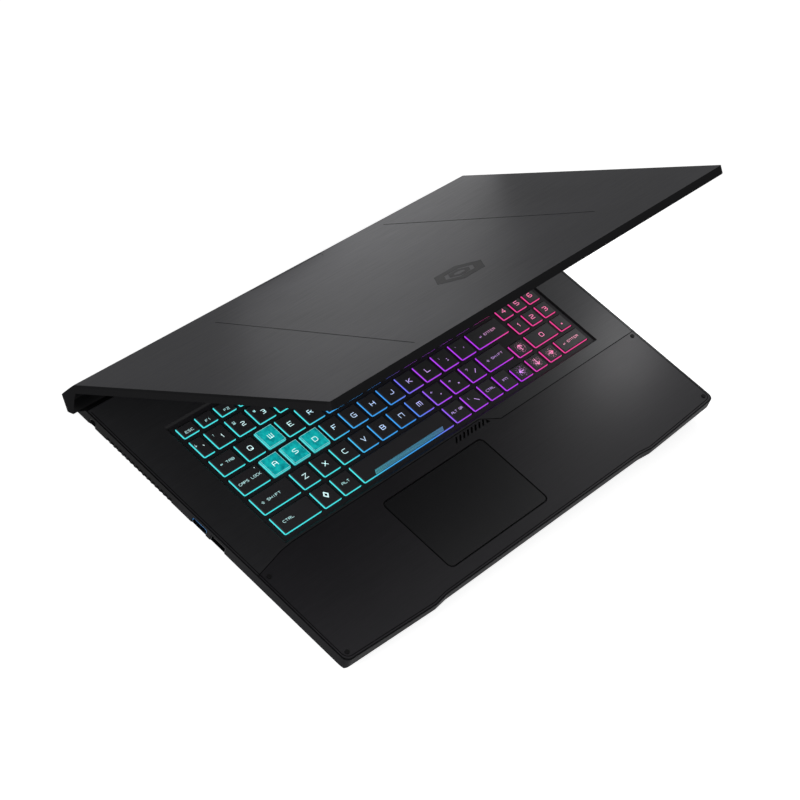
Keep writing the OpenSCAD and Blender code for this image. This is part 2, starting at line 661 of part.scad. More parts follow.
battery_x = [53 - half_w, half_w - 95];
battery_y = [front_y + 26.35, board_front - 16];
battery_low = floor_z + seat;
battery_top = steel_low - 1;
cells = 4;
module battery() color("#2a2c30") {
    difference() {
        box([battery_x[0], battery_y[0], battery_low], [battery_x[1], battery_y[1], battery_top]);
        for (i = [0 : cells - 1]) let (w = (battery_x[1] - battery_x[0] - 4) / cells)
            box([battery_x[0] + 3 + i * w, battery_y[0] + 2, battery_low + 0.6],
                [battery_x[0] + 1 + (i + 1) * w, battery_y[1] - 8, battery_top + 1]);
    }
    for (i = [0 : cells - 1]) let (w = (battery_x[1] - battery_x[0] - 4) / cells)
        slab(battery_low + 0.6, battery_top - 0.3, round_rect([battery_x[0] + 3.2 + i * w, battery_y[0] + 2.2],
            [battery_x[0] + 0.8 + (i + 1) * w, battery_y[1] - 8.2], 1.5));
}

module memory_modules() color("#1b5e34") for (i = [0, 1]) translate([i * 4 - 40, home_y + i * 33 - 25.8, 0]) {
    box([0, 0, side_low - 2.2], [69.6, 3, side_low]);
    box([1, 3, side_low - 1.8], [68.6, 30, side_low - 1]);
    for (c = [0 : 3]) box([5 + c * 16, 8, side_low - 2.6], [17 + c * 16, 18, side_low - 1.8]);
}

module storage_drive() color("#1f2d3a") translate([half_w - 115, home_y - 39.8, 0]) {
    box([0, 0, side_low - 3], [4, 22, side_low]);
    box([4, 0, side_low - 2.4], [80, 22, side_low - 1.6]);
    for (x = [12, 36, 58]) box([x, 3, side_low - 3.4], [x + 16, 19, side_low - 2.4]);
    box([76, 8, side_low - 1.6], [80, 14, side_low]);
}

module wireless_card() color("#2f4a3a") translate([4 - board_half, home_y - 23.8, 0]) {
    box([0, 0, side_low - 2.6], [22, 3, side_low]);
    box([0, 3, side_low - 2], [22, 28, side_low - 1.2]);
    box([3, 6, side_low - 3.2], [19, 22, side_low - 2]);
    box([8, 25, side_low - 1.2], [14, 28, side_low]);
}

module speakers() color("#1e1e20") for (s = [-1, 1]) {
    a = [s * speaker_x - speaker_size.x / 2, speaker_y - speaker_size.y / 2];
    b = [s * speaker_x + speaker_size.x / 2, speaker_y + speaker_size.y / 2];
    difference() {
        slab(floor_z, floor_z + speaker_size.z, round_rect(a, b, 3));
        slab(floor_z - 1, floor_z + 1.4, round_rect(a + [4, 4], b - [4, 4], 2));
    }
}

// ---- Sockets -----------------------------------------------------------------------

shell_t = 0.4;

// Trims a socket's mouth to the tapered side wall
module in_wall() intersection() {
    envelope(rim);
    union() children();
}

// Open metal socket shell in a side wall with a tongue inside
module socket(side, y, z, w, h, depth, tongue, lift = 0) {
    x0 = half_w - rim - depth;
    mirror([side < 0 ? 1 : 0, 0, 0]) in_wall() {
        difference() {
            box([x0, y - w / 2, z - h / 2], [half_w - rim, y + w / 2, z + h / 2]);
            box([x0 + 1, y - w / 2 + shell_t, z - h / 2 + shell_t], [half_w, y + w / 2 - shell_t, z + h / 2 - shell_t]);
        }
        if (tongue > 0) box([x0 + 1 - eps, y - w / 2 + 1.2, z + lift - tongue / 2], [half_w - 2, y + w / 2 - 1.2, z + lift + tongue / 2]);
    }
}

module left_usb_sockets() color("#2c6ea0") for (y = left_usb_y) socket(-1, y, port_z, usb_w, usb_h, usb_depth, 1.8, 0.9);
module right_usb_sockets() color("#8f9296") {
    socket(1, right_usb_y, port_z, usb_w, usb_h, usb_depth, 1.8, 0.9);
    socket(1, type_c_y, type_c_z, type_c_w, type_c_h, 9, 0.7);
}
module video_socket() color("#8f9296") socket(1, video_y, port_z, video_w, video_h, 12, 1.6);
module network_socket() color("#2a2a2a") socket(1, network_y, network_z, network_w, network_h, network_depth, 0);
module audio_socket() color("#1c1c1c") in_wall() translate([half_w - rim, audio_y, audio_z]) rotate([0, -90, 0]) difference() {
    cylinder(h = 12, r = audio_r, $fn = 40);
    translate([0, 0, -1]) cylinder(h = 12, r = audio_bore, $fn = 40);
}
module power_socket() color("#1c1c1c") in_wall() translate([-half_w + rim, power_y, port_z]) rotate([0, 90, 0]) {
    difference() {
        cylinder(h = 12, r = power_r, $fn = 40);
        translate([0, 0, -1]) cylinder(h = 11, r = power_r - 0.7, $fn = 40);
    }
    translate([0, 0, 3]) cylinder(h = 8, r = 0.8, $fn = 24);
}

// ---- Hinges ---------------------------------------------------------------------------

module at_hinges() for (s = [-1, 1]) translate([s * hinge_x, 0, 0]) children();

// Cylinder along X about the hinge axis
module barrel(x0, x1, r) translate([x0, hinge_y, hinge_z]) rotate([0, 90, 0]) cylinder(h = x1 - x0, r = r, $fn = 48);

strap_front = hinge_screw_y - 4;
module hinge_brackets() color("#6f7276") for (s = [-1, 1]) difference() {
    union() {
        translate([s * hinge_x, 0, 0]) barrel(-knuckle_w / 2, knuckle_w / 2, knuckle_r);
        box([s * hinge_x - knuckle_w / 2, strap_front, hinge_z - strap_t / 2],
            [s * hinge_x + knuckle_w / 2, hinge_y, hinge_z + strap_t / 2]);
        slab(hinge_z - strap_t / 2, hinge_z + strap_t / 2, round_rect(
            [s * (hinge_x + 9) - 19, strap_front], [s * (hinge_x + 9) + 19, hinge_screw_y + 4.4], 2));
    }
    translate([s * hinge_x, 0, 0]) barrel(-knuckle_w, knuckle_w, pin_r + pin_clear);
    translate([s * hinge_screws[1].x, hinge_screw_y, hinge_z - 2]) cylinder(h = 4, r = screw_r + 0.1, $fn = 32);
}

// Everything in the lid is drawn closed and turned open by this module
module lid_place() translate([0, hinge_y, hinge_z]) rotate([-lid_open, 0, 0]) translate([0, -hinge_y, -hinge_z]) children();

arm_out = knuckle_w / 2 + side_clear + arm_w;
module hinge_pins() color("#a4a7ab") lid_place() at_hinges() barrel(-arm_out, arm_out, pin_r);

arm_dir = [cos(128), sin(128)];
bay_rear = lid_rear - 3;
plate_z = lid_top - lid_wall - strap_t / 2;
hinge_plate_d = 10;
arm_axis = [hinge_y, hinge_z];
module hinge_arms() color("#6f7276") lid_place() at_hinges() {
    difference() {
        union() {
            for (s = [-1, 1]) {
                x = s > 0 ? arm_out - arm_w : -arm_out;
                barrel(x, x + arm_w, knuckle_r);
                across(x, x + arm_w, ribbon([arm_axis, arm_axis + 6 * arm_dir], strap_t));
            }
            across(-arm_out, arm_out, ribbon([arm_axis + 4.6 * arm_dir, arm_axis + 14.5 * arm_dir,
                [bay_rear - 1, plate_z], [bay_rear - hinge_plate_d, plate_z]], strap_t));
        }
        barrel(-arm_out - 1, arm_out + 1, pin_r);
        barrel(-knuckle_w / 2 - side_clear, knuckle_w / 2 + side_clear, knuckle_r + 0.4);
    }
}

// ---- Lid --------------------------------------------------------------------------------

edge_cut = 1.2;
lid_corner = 5;
crease_w = 1.1;
crease_h = 0.15;
lid_section = [[lid_front, lid_low], chin_seat, chin_brow, chin_toe, chin_foot, chin_back, [lid_rear, lid_top],
    [lid_front + edge_cut, lid_top], [lid_front, lid_top - edge_cut]];
chin_section = [[lid_rear - 20, lid_low], chin_seat, chin_brow, chin_toe, chin_foot, chin_back,
    [lid_rear, lid_top], [lid_rear - 20, lid_top]];

function inset(p, t) = let (n = len(p)) [for (i = [0 : n - 1]) let (d0 = p[i] - p[(i + n - 1) % n], d1 = p[(i + 1) % n] - p[i],
    n0 = [-d0.y, d0.x] / norm(d0), n1 = [-d1.y, d1.x] / norm(d1)) p[i] + (n0 + n1) * t / (1 + n0 * n1)];

function sweep_sector(r, a0, a1) = concat([arm_axis], arc(arm_axis, r, a0, a1, 12));

// Shallow groove from a to b in the lid's outer face
module crease(a, b) slab(lid_top - crease_h, lid_top + 1, ribbon([a, b], crease_w));

module lid_cover() color("#3d3d3f") lid_place() difference() {
    intersection() {
        across(-half_w, half_w, lid_section);
        along(lid_front, chin_back.x + 1, [[-half_w, chin_toe.y - 1], [half_w, chin_toe.y - 1], [half_w, lid_top - edge_cut],
            [half_w - edge_cut, lid_top], [edge_cut - half_w, lid_top], [-half_w, lid_top - edge_cut]]);
        slab(chin_toe.y - 1, lid_top + 1, round_rect([-half_w, lid_front], [half_w, chin_back.x], lid_corner));
    }
    box([lid_wall - half_w, lid_front + lid_wall, lid_low - 1], [half_w - lid_wall, bay_rear, lid_top - lid_wall]);
    across(lid_wall - half_w, half_w - lid_wall, inset(chin_section, lid_wall));
    at_hinges() {
        across(-knuckle_w / 2 - side_clear, knuckle_w / 2 + side_clear, sweep_sector(16, 166, 322));
        barrel(-arm_out - side_clear, arm_out + side_clear, knuckle_r + side_clear);
    }
    crease([-91.5, lid_rear - 26], [-113, lid_front + 11.75]);
    crease([92.7, lid_rear - 13], [105.5, lid_front + 88.75]);
    crease([105.5, lid_front + 88.75], [110, lid_front + 45.75]);
    slab(lid_top - crease_h, lid_top + 1, [[-36, lid_rear - 2], [-31, lid_rear - 11], [31, lid_rear - 11], [36, lid_rear - 2]]);
}

cam_y = lid_front + 5.2;
cam_r = 1.8;
bezel_clear = 0.15;
module screen_bezel() color("#161617") lid_place() difference() {
    box([lid_wall + bezel_clear - half_w, lid_front + lid_wall + bezel_clear, lid_low],
        [half_w - lid_wall - bezel_clear, bay_rear - bezel_clear, lid_low + bezel_t]);
    box([-screen_w / 2, screen_front, lid_low - 1], [screen_w / 2, screen_front + screen_d, lid_low + 2]);
    translate([0, cam_y, lid_low - 1]) cylinder(h = bezel_t + 2, r = cam_r + 0.2, $fn = 32);
}

panel_edge = 3.5;
module display_panel() color("#0c0d10") lid_place()
    box([-screen_w / 2 - panel_edge, screen_front - 2.4, lid_low + bezel_t],
        [screen_w / 2 + panel_edge, screen_front + screen_d + 5, lid_low + bezel_t + panel_t]);

module webcam() color("#222326") lid_place() {
    box([-16, cam_y - 2.3, lid_low + bezel_t], [16, cam_y + 2.3, lid_low + bezel_t + 1]);
    translate([0, cam_y, lid_low + 0.2]) cylinder(h = bezel_t - 0.2 + eps, r = cam_r, $fn = 32);
}

cable_z = lid_low + bezel_t + panel_t / 2;
module display_cable() color("#3a3f46") lid_place() across(-66, -56,
    ribbon([[screen_front + screen_d + 5, cable_z], [lid_rear + 2, cable_z], [hinge_y - 3, hinge_z + 7], [hinge_y + 2, hinge_z + 1]], 0.5));

bottom_cover();
side_frame();
keyboard_deck();
palm_rest();
rubber_feet();
cover_screws();
deck_bumpers();
key_grid();
keyboard_plate();
dome_sheet();
touchpad();
touchpad_bracket();
touchpad_switch();
power_button();
mainboard();
heat_spreaders();
heat_pipes();
fin_stacks();
left_fan_housing();
right_fan_housing();
left_impeller();
right_impeller();
battery();
memory_modules();
storage_drive();
wireless_card();
speakers();
power_socket();
left_usb_sockets();
right_usb_sockets();
video_socket();
network_socket();
audio_socket();
hinge_brackets();
hinge_pins();
lid_cover();
screen_bezel();
display_panel();
webcam();
hinge_arms();
display_cable();
key_w();
key_a();
key_s();
key_d();
space_bar();
enter_key();
left_shift_key();
up_key();
left_key();
down_key();
right_key();
function_keys();
number_keys();
upper_letter_keys();
home_letter_keys();
lower_letter_keys();
control_keys();
numpad_keys();
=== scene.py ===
"""Finishes, key legends, lit strips, painted shade in gaps and outlets, room and camera for the laptop computer."""
import math
import bmesh
import bpy
from mathutils import Matrix, Vector


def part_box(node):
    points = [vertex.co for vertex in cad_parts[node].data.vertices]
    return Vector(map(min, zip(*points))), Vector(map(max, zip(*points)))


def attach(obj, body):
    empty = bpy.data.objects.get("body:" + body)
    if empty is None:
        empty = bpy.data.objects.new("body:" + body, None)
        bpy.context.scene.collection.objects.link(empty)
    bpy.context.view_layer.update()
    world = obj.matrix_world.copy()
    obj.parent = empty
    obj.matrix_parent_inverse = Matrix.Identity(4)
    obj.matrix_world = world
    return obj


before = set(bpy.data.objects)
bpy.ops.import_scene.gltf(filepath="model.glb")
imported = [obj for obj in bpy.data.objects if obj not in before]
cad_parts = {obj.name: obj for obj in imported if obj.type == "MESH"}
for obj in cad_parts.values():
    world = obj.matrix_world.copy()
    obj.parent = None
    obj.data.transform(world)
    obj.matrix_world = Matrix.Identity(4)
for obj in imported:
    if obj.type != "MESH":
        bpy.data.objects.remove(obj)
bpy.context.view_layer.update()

scene = bpy.context.scene
scene.view_settings.view_transform = "Standard"
MM = 0.001

# ---- Camera -----------------------------------------------------------------
# Place and range of sight in metres, lens and sensor in millimetres. The three directions are the rows of
# the camera's turning matrix: its right, down and forward.
CAMERA_PLACE = (-0.94974, -0.48266, 1.07223)
CAMERA_RIGHT = (0.658442, -0.703804, 0.266672)
CAMERA_DOWN = (-0.410271, -0.632689, -0.656797)
CAMERA_FORWARD = (0.630977, 0.323055, -0.705339)
SENSOR_WIDTH = 36
LENS = 97.29
SIGHT = 20

camera = bpy.data.objects.new("camera", bpy.data.cameras.new("camera"))
scene.collection.objects.link(camera)
camera.data.sensor_width = SENSOR_WIDTH
camera.data.lens = LENS
camera.data.clip_end = SIGHT
turn = Matrix((CAMERA_RIGHT, [-v for v in CAMERA_DOWN], [-v for v in CAMERA_FORWARD])).transposed()
camera.matrix_world = Matrix.Translation(CAMERA_PLACE) @ turn.to_4x4()
scene.camera = camera


# ---- Small helpers ------------------------------------------------------------
def linear(code):
    """Turns an sRGB hex colour into linear RGBA."""
    parts = [int(code[i:i + 2], 16) / 255 for i in (1, 3, 5)]
    return [v / 12.92 if v <= 0.04045 else ((v + 0.055) / 1.055) ** 2.4 for v in parts] + [1.0]


def add(tree, kind, inputs=None, stops=None, **settings):
    """Adds a node; inputs takes values or sockets by name or number, and stops the places of a ramp's colours."""
    made = tree.nodes.new(kind)
    for key, value in settings.items():
        setattr(made, key, value)
    for key, value in (inputs or {}).items():
        if isinstance(value, bpy.types.NodeSocket):
            tree.links.new(value, made.inputs[key])
        else:
            made.inputs[key].default_value = value
    for number, (place, code) in enumerate(stops or []):
        if number >= len(made.color_ramp.elements):
            made.color_ramp.elements.new(place)
        made.color_ramp.elements[number].position = place
        made.color_ramp.elements[number].color = linear(code)
    return made


def new_material(name):
    """An empty material, its node tree and its texture coordinates."""
    made = bpy.data.materials.new(name)
    made.use_nodes = True
    made.node_tree.nodes.clear()
    return made, made.node_tree, add(made.node_tree, "ShaderNodeTexCoord")


def shaded(made, inputs):
    """Ends a material with one shader that has these inputs, and returns the material."""
    shader = add(made.node_tree, "ShaderNodeBsdfPrincipled", inputs)
    add(made.node_tree, "ShaderNodeOutputMaterial", {"Surface": shader.outputs[0]})
    return made


# ---- Finishes -----------------------------------------------------------------
UP = (0.0, 0.0, 1.0)
LID_TILT = math.radians(41.2)
LID_OUT = (0.0, math.sin(LID_TILT), math.cos(LID_TILT))
STREAK_WIDTH = 0.5 * MM
STREAK_STRETCH = 60
SHEET_ROUGH = 0.42
# Share of a sheet's outward direction from which on a face counts as flat; the other faces get painted shade.
FLAT_FROM = 0.9
# Patterns that are counted, in features to the metre.
SHEET_CLOUDS = 9.0
RESIN_CLOUDS = 30.0
CAP_GRAINS = 3000.0
TEAL_CLOUDS = 260.0
PLATING_GRAINS = 1500.0
FILM_GRAINS = 1500.0
BOARD_RUNS = 250.0
BRAID_THREADS = 900


def brushed_aluminium(name, dark, light, wall_shade, facing=UP, metal=0.1, grazing=1.0):
    """Anodised sheet brushed along X: fine streaks vary its tone and gloss, and faces off its plane get painted
    shade.

    The streaks are drawn 0.5 mm wide, coarser than real ones, so that they show. grazing is the share of
    its gloss that the dark oxide layer leaves at shallow angles.
    """
    made, tree, place = new_material(name)
    across = 1 / STREAK_WIDTH
    scaled = add(tree, "ShaderNodeMapping", {"Vector": place.outputs["Object"],
                                             "Scale": (across / STREAK_STRETCH, across, across)})
    streaks = add(tree, "ShaderNodeTexNoise", {"Vector": scaled.outputs[0], "Scale": 1.0, "Detail": 3.0})
    cloud = add(tree, "ShaderNodeTexNoise", {"Vector": place.outputs["Object"], "Scale": SHEET_CLOUDS,
                                             "Detail": 2.0})
    mixed = add(tree, "ShaderNodeMath", {0: streaks.outputs["Fac"], 1: cloud.outputs["Fac"]}, operation="MULTIPLY")
    sheet = add(tree, "ShaderNodeValToRGB", {"Fac": mixed.outputs[0]}, [(0.1, dark), (0.45, light)])
    # Faces turned away from the sheet take the third colour: painted shade in seams, walls and along edges.
    turned = add(tree, "ShaderNodeVectorMath", {0: place.outputs["Normal"], 1: facing}, operation="DOT_PRODUCT")
    flat = add(tree, "ShaderNodeMath", {0: turned.outputs["Value"], 1: FLAT_FROM}, operation="GREATER_THAN")
    colour = add(tree, "ShaderNodeMix", {"Factor": flat.outputs[0], 6: linear(wall_shade), 7: sheet.outputs["Color"]},
                 data_type="RGBA")
    gloss = add(tree, "ShaderNodeMapRange", {"Value": streaks.outputs["Fac"], "From Min": 0.2, "From Max": 0.8,
                                             "To Min": SHEET_ROUGH - 0.05, "To Max": SHEET_ROUGH + 0.07})
    relief = add(tree, "ShaderNodeBump", {"Height": streaks.outputs["Fac"], "Strength": 0.12, "Distance": 0.02 * MM})
    return shaded(made, {"Base Color": colour.outputs[2], "Metallic": metal, "Specular IOR Level": 0.2,
                         "Specular Tint": (grazing, grazing, grazing, 1.0), "Roughness": gloss.outputs[0],
                         "Normal": relief.outputs[0]})


def moulded_plastic(name, colour, rough, grain=0.35, depth=0.03, spread=0.12, specular=0.5, rear=None):
    """Plastic or rubber from a spark-eroded mould: even and matt, with grains of a given width and depth in mm.

    spread is how far its tone wanders. rear gives a second, darker colour and where it starts along Y: painted
    shade over the part from there backwards, round its air outlets.
    """
    made, tree, place = new_material(name)
    grains = add(tree, "ShaderNodeTexNoise", {"Vector": place.outputs["Object"], "Scale": 1 / (grain * MM),
                                              "Detail": 2.0})
    soft = add(tree, "ShaderNodeTexNoise", {"Vector": place.outputs["Object"], "Scale": RESIN_CLOUDS, "Detail": 3.0})
    shade = add(tree, "ShaderNodeMapRange", {"Value": soft.outputs["Fac"], "From Min": 0.3, "From Max": 0.7,
                                             "To Min": 1 - spread, "To Max": 1 + spread})
    resin = linear(colour)
    # From a place along Y backwards the colour is swapped for a darker one: painted shade.
    if rear:
        painted_shade_colour, painted_shade_from = rear
        parts = add(tree, "ShaderNodeSeparateXYZ", {"Vector": place.outputs["Object"]})
        behind = add(tree, "ShaderNodeMath", {0: parts.outputs["Y"], 1: painted_shade_from}, operation="GREATER_THAN")
        resin = add(tree, "ShaderNodeMix", {"Factor": behind.outputs[0], 6: resin, 7: linear(painted_shade_colour)},
                    data_type="RGBA").outputs[2]
    tint = add(tree, "ShaderNodeMix", {"Factor": 1.0, 6: resin, 7: shade.outputs[0]},
               data_type="RGBA", blend_type="MULTIPLY")
    gloss = add(tree, "ShaderNodeMapRange", {"Value": grains.outputs["Fac"], "From Min": 0.3, "From Max": 0.7,
                                             "To Min": rough - 0.05, "To Max": rough + 0.05})
    relief = add(tree, "ShaderNodeBump", {"Height": grains.outputs["Fac"], "Strength": 0.25, "Distance": depth * MM})
    return shaded(made, {"Base Color": tint.outputs[2], "Roughness": gloss.outputs[0],
                         "Specular IOR Level": specular, "Normal": relief.outputs[0]})


def bare_metal(name, dark, light, rough, spots=2.0):
    """Bare or plated sheet metal: slightly cloudy, with handling marks of a given width in millimetres."""
    made, tree, place = new_material(name)
    cloud = add(tree, "ShaderNodeTexNoise", {"Vector": place.outputs["Object"], "Scale": 1 / (spots * MM),
                                             "Detail": 4.0})
    gloss = add(tree, "ShaderNodeMapRange", {"Value": cloud.outputs["Fac"], "To Min": rough - 0.1,
                                             "To Max": rough + 0.1})
    colour = add(tree, "ShaderNodeValToRGB", {"Fac": cloud.outputs["Fac"]}, [(0.3, dark), (0.7, light)])
    return shaded(made, {"Base Color": colour.outputs["Color"], "Metallic": 1.0, "Roughness": gloss.outputs[0]})


# The light under the keys runs from cyan at the left, past blue and violet, to pink at the right.
GLOW = [(0.0, "#3fe0e2"), (0.26, "#3fe0e2"), (0.32, "#36a6ea"), (0.46, "#2f8fe8"), (0.51, "#7068f2"),
        (0.56, "#ac3fee"), (0.75, "#b32fe8"), (0.82, "#e23c9a"), (1.0, "#ea3f86")]
KEYS_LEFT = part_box("key_grid")[0].x
KEYS_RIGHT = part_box("key_grid")[1].x
KEY_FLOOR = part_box("key_grid")[1].z
CAP_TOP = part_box("space_bar")[1].z
# Heights above the key floor between which the light on a skirt fades out.
LIT_TO = 0.6 * MM
DARK_FROM = 0.9 * MM
SKIRT_LIGHT = 1.15
TEAL_LIGHT = 0.55


def key_light(tree, parts):
    """Colour of the key light by the distance from the keyboard's left end."""
    along = add(tree, "ShaderNodeMapRange", {"Value": parts.outputs["X"], "From Min": KEYS_LEFT,
                                             "From Max": KEYS_RIGHT})
    return add(tree, "ShaderNodeValToRGB", {"Fac": along.outputs[0]}, GLOW).outputs["Color"]


def keycap(name, colour, rough, clear=None):
    """ABS cap over a clear skirt: the skirt's lower edge shines, and the painted top is matt.

    clear gives the ramp of a cap that is tinted clear all through and glows as a whole.
    """
    made, tree, place = new_material(name)
    parts = add(tree, "ShaderNodeSeparateXYZ", {"Vector": place.outputs["Object"]})
    tilt = add(tree, "ShaderNodeSeparateXYZ", {"Vector": place.outputs["Normal"]})
    side = add(tree, "ShaderNodeMath", {0: tilt.outputs["Z"], 1: 0.8}, operation="LESS_THAN")
    # The glow is kept off the rear of each skirt, as painted shade from the cap above it.
    front = add(tree, "ShaderNodeMath", {0: tilt.outputs["Y"], 1: 0.3}, operation="LESS_THAN")
    low = add(tree, "ShaderNodeMapRange", {"Value": parts.outputs["Z"], "From Min": KEY_FLOOR + LIT_TO,
                                           "From Max": KEY_FLOOR + DARK_FROM, "To Min": 1.0, "To Max": 0.0})
    open_side = add(tree, "ShaderNodeMath", {0: parts.outputs["Z"], 1: KEY_FLOOR}, operation="GREATER_THAN")
    band = add(tree, "ShaderNodeMath", {0: low.outputs[0], 1: open_side.outputs[0]}, operation="MULTIPLY")
    shown = add(tree, "ShaderNodeMath", {0: side.outputs[0], 1: front.outputs[0]}, operation="MULTIPLY")
    lit = add(tree, "ShaderNodeMath", {0: band.outputs[0], 1: shown.outputs[0]}, operation="MULTIPLY")
    grains = add(tree, "ShaderNodeTexNoise", {"Vector": place.outputs["Object"], "Scale": CAP_GRAINS, "Detail": 2.0})
    relief = add(tree, "ShaderNodeBump", {"Height": grains.outputs["Fac"], "Strength": 0.2, "Distance": 0.03 * MM})
    gloss = add(tree, "ShaderNodeMapRange", {"Value": grains.outputs["Fac"], "To Min": rough - 0.08,
                                             "To Max": rough + 0.08})
    inputs = {"Roughness": gloss.outputs[0], "Normal": relief.outputs[0], "Specular IOR Level": 0.25}
    if clear:
        cloud = add(tree, "ShaderNodeTexNoise", {"Vector": place.outputs["Object"], "Scale": TEAL_CLOUDS,
                                                 "Detail": 4.0, "Roughness": 0.65})
        body = add(tree, "ShaderNodeValToRGB", {"Fac": cloud.outputs["Fac"]}, clear)
        tinted = add(tree, "ShaderNodeMix", {"Factor": lit.outputs[0], 6: body.outputs["Color"], 7: linear(colour)},
                     data_type="RGBA")
        inputs.update({"Base Color": tinted.outputs[2], "Emission Color": tinted.outputs[2],
                       "Emission Strength": TEAL_LIGHT})
    else:
        power = add(tree, "ShaderNodeMath", {0: lit.outputs[0], 1: SKIRT_LIGHT}, operation="MULTIPLY")
        inputs.update({"Base Color": linear(colour), "Emission Color": key_light(tree, parts),
                       "Emission Strength": power.outputs[0]})
    return shaded(made, inputs)


def glowing(name, strength, whiten, pale="#ffffff"):
    """Translucent legend or strip, lit from below in the colour of its place.

    whiten gives how much of the pale colour is mixed in at the keyboard's left and right end.
    """
    made, tree, place = new_material(name)
    parts = add(tree, "ShaderNodeSeparateXYZ", {"Vector": place.outputs["Object"]})
    share = add(tree, "ShaderNodeMapRange", {"Value": parts.outputs["X"], "From Min": KEYS_LEFT,
                                             "From Max": KEYS_RIGHT, "To Min": whiten[0], "To Max": whiten[1]})
    tint = add(tree, "ShaderNodeMix", {"Factor": share.outputs[0], 6: key_light(tree, parts), 7: linear(pale)},
               data_type="RGBA")
    return shaded(made, {"Base Color": tint.outputs[2], "Roughness": 0.5, "Emission Color": tint.outputs[2],
                         "Emission Strength": strength})


def solder_mask(name):
    """Fibreglass board under green lacquer, with copper runs that show as paler lines."""
    made, tree, place = new_material(name)
    runs = add(tree, "ShaderNodeTexBrick", {"Vector": place.outputs["Object"], "Scale": BOARD_RUNS,
                                            "Mortar Size": 0.06, "Color1": linear("#0f3d22"),
                                            "Color2": linear("#124a29"), "Mortar": linear("#2c7a48")})
    return shaded(made, {"Base Color": runs.outputs["Color"], "Roughness": 0.3, "Coat Weight": 0.4})


def tongued_socket(name, middle, half, front):
    """Nickel-plated shells round tongues that lie within half of a middle height.

    Behind a place along Y the tongue is blue plastic, and in front of it it is black.
    """
    made, tree, place = new_material(name)
    parts = add(tree, "ShaderNodeSeparateXYZ", {"Vector": place.outputs["Object"]})
    tongue = add(tree, "ShaderNodeMath", {0: parts.outputs["Z"], 1: middle, 2: half}, operation="COMPARE")
    rear = add(tree, "ShaderNodeMath", {0: parts.outputs["Y"], 1: front}, operation="GREATER_THAN")
    grains = add(tree, "ShaderNodeTexNoise", {"Vector": place.outputs["Object"], "Scale": PLATING_GRAINS})
    plate = add(tree, "ShaderNodeValToRGB", {"Fac": grains.outputs["Fac"]}, [(0.3, "#3c3e41"), (0.7, "#505357")])
    plastic = add(tree, "ShaderNodeMix", {"Factor": rear.outputs[0], 6: linear("#101011"), 7: linear("#2f8ad0")},
                  data_type="RGBA")
    colour = add(tree, "ShaderNodeMix", {"Factor": tongue.outputs[0], 6: plate.outputs["Color"],
                                         7: plastic.outputs[2]}, data_type="RGBA")
    metal = add(tree, "ShaderNodeMath", {0: 1.0, 1: tongue.outputs[0]}, operation="SUBTRACT")
    return shaded(made, {"Base Color": colour.outputs[2], "Roughness": 0.35, "Metallic": metal.outputs[0]})


def display_glass(name):
    """Matt display behind an anti-glare film: nearly black, with a soft wide sheen."""
    made, tree, place = new_material(name)
    film = add(tree, "ShaderNodeTexNoise", {"Vector": place.outputs["Object"], "Scale": FILM_GRAINS})
    gloss = add(tree, "ShaderNodeMapRange", {"Value": film.outputs["Fac"], "To Min": 0.22, "To Max": 0.3})
    return shaded(made, {"Base Color": linear("#07080a"), "Roughness": gloss.outputs[0], "Coat Weight": 0.15,
                         "Coat Roughness": 0.25})


def woven_sleeve(name):
    """Black polyester braid round the cable, with its threads drawn coarse."""
    made, tree, place = new_material(name)
    scaled = add(tree, "ShaderNodeMapping", {"Vector": place.outputs["Object"], "Scale": (BRAID_THREADS,) * 3})
    weave = add(tree, "ShaderNodeTexWave", {"Vector": scaled.outputs[0], "Scale": 1.0, "Distortion": 0.5})
    thread = add(tree, "ShaderNodeValToRGB", {"Fac": weave.outputs["Fac"]}, [(0.2, "#101114"), (0.8, "#3a3f46")])
    return shaded(made, {"Base Color": thread.outputs["Color"], "Roughness": 0.9})
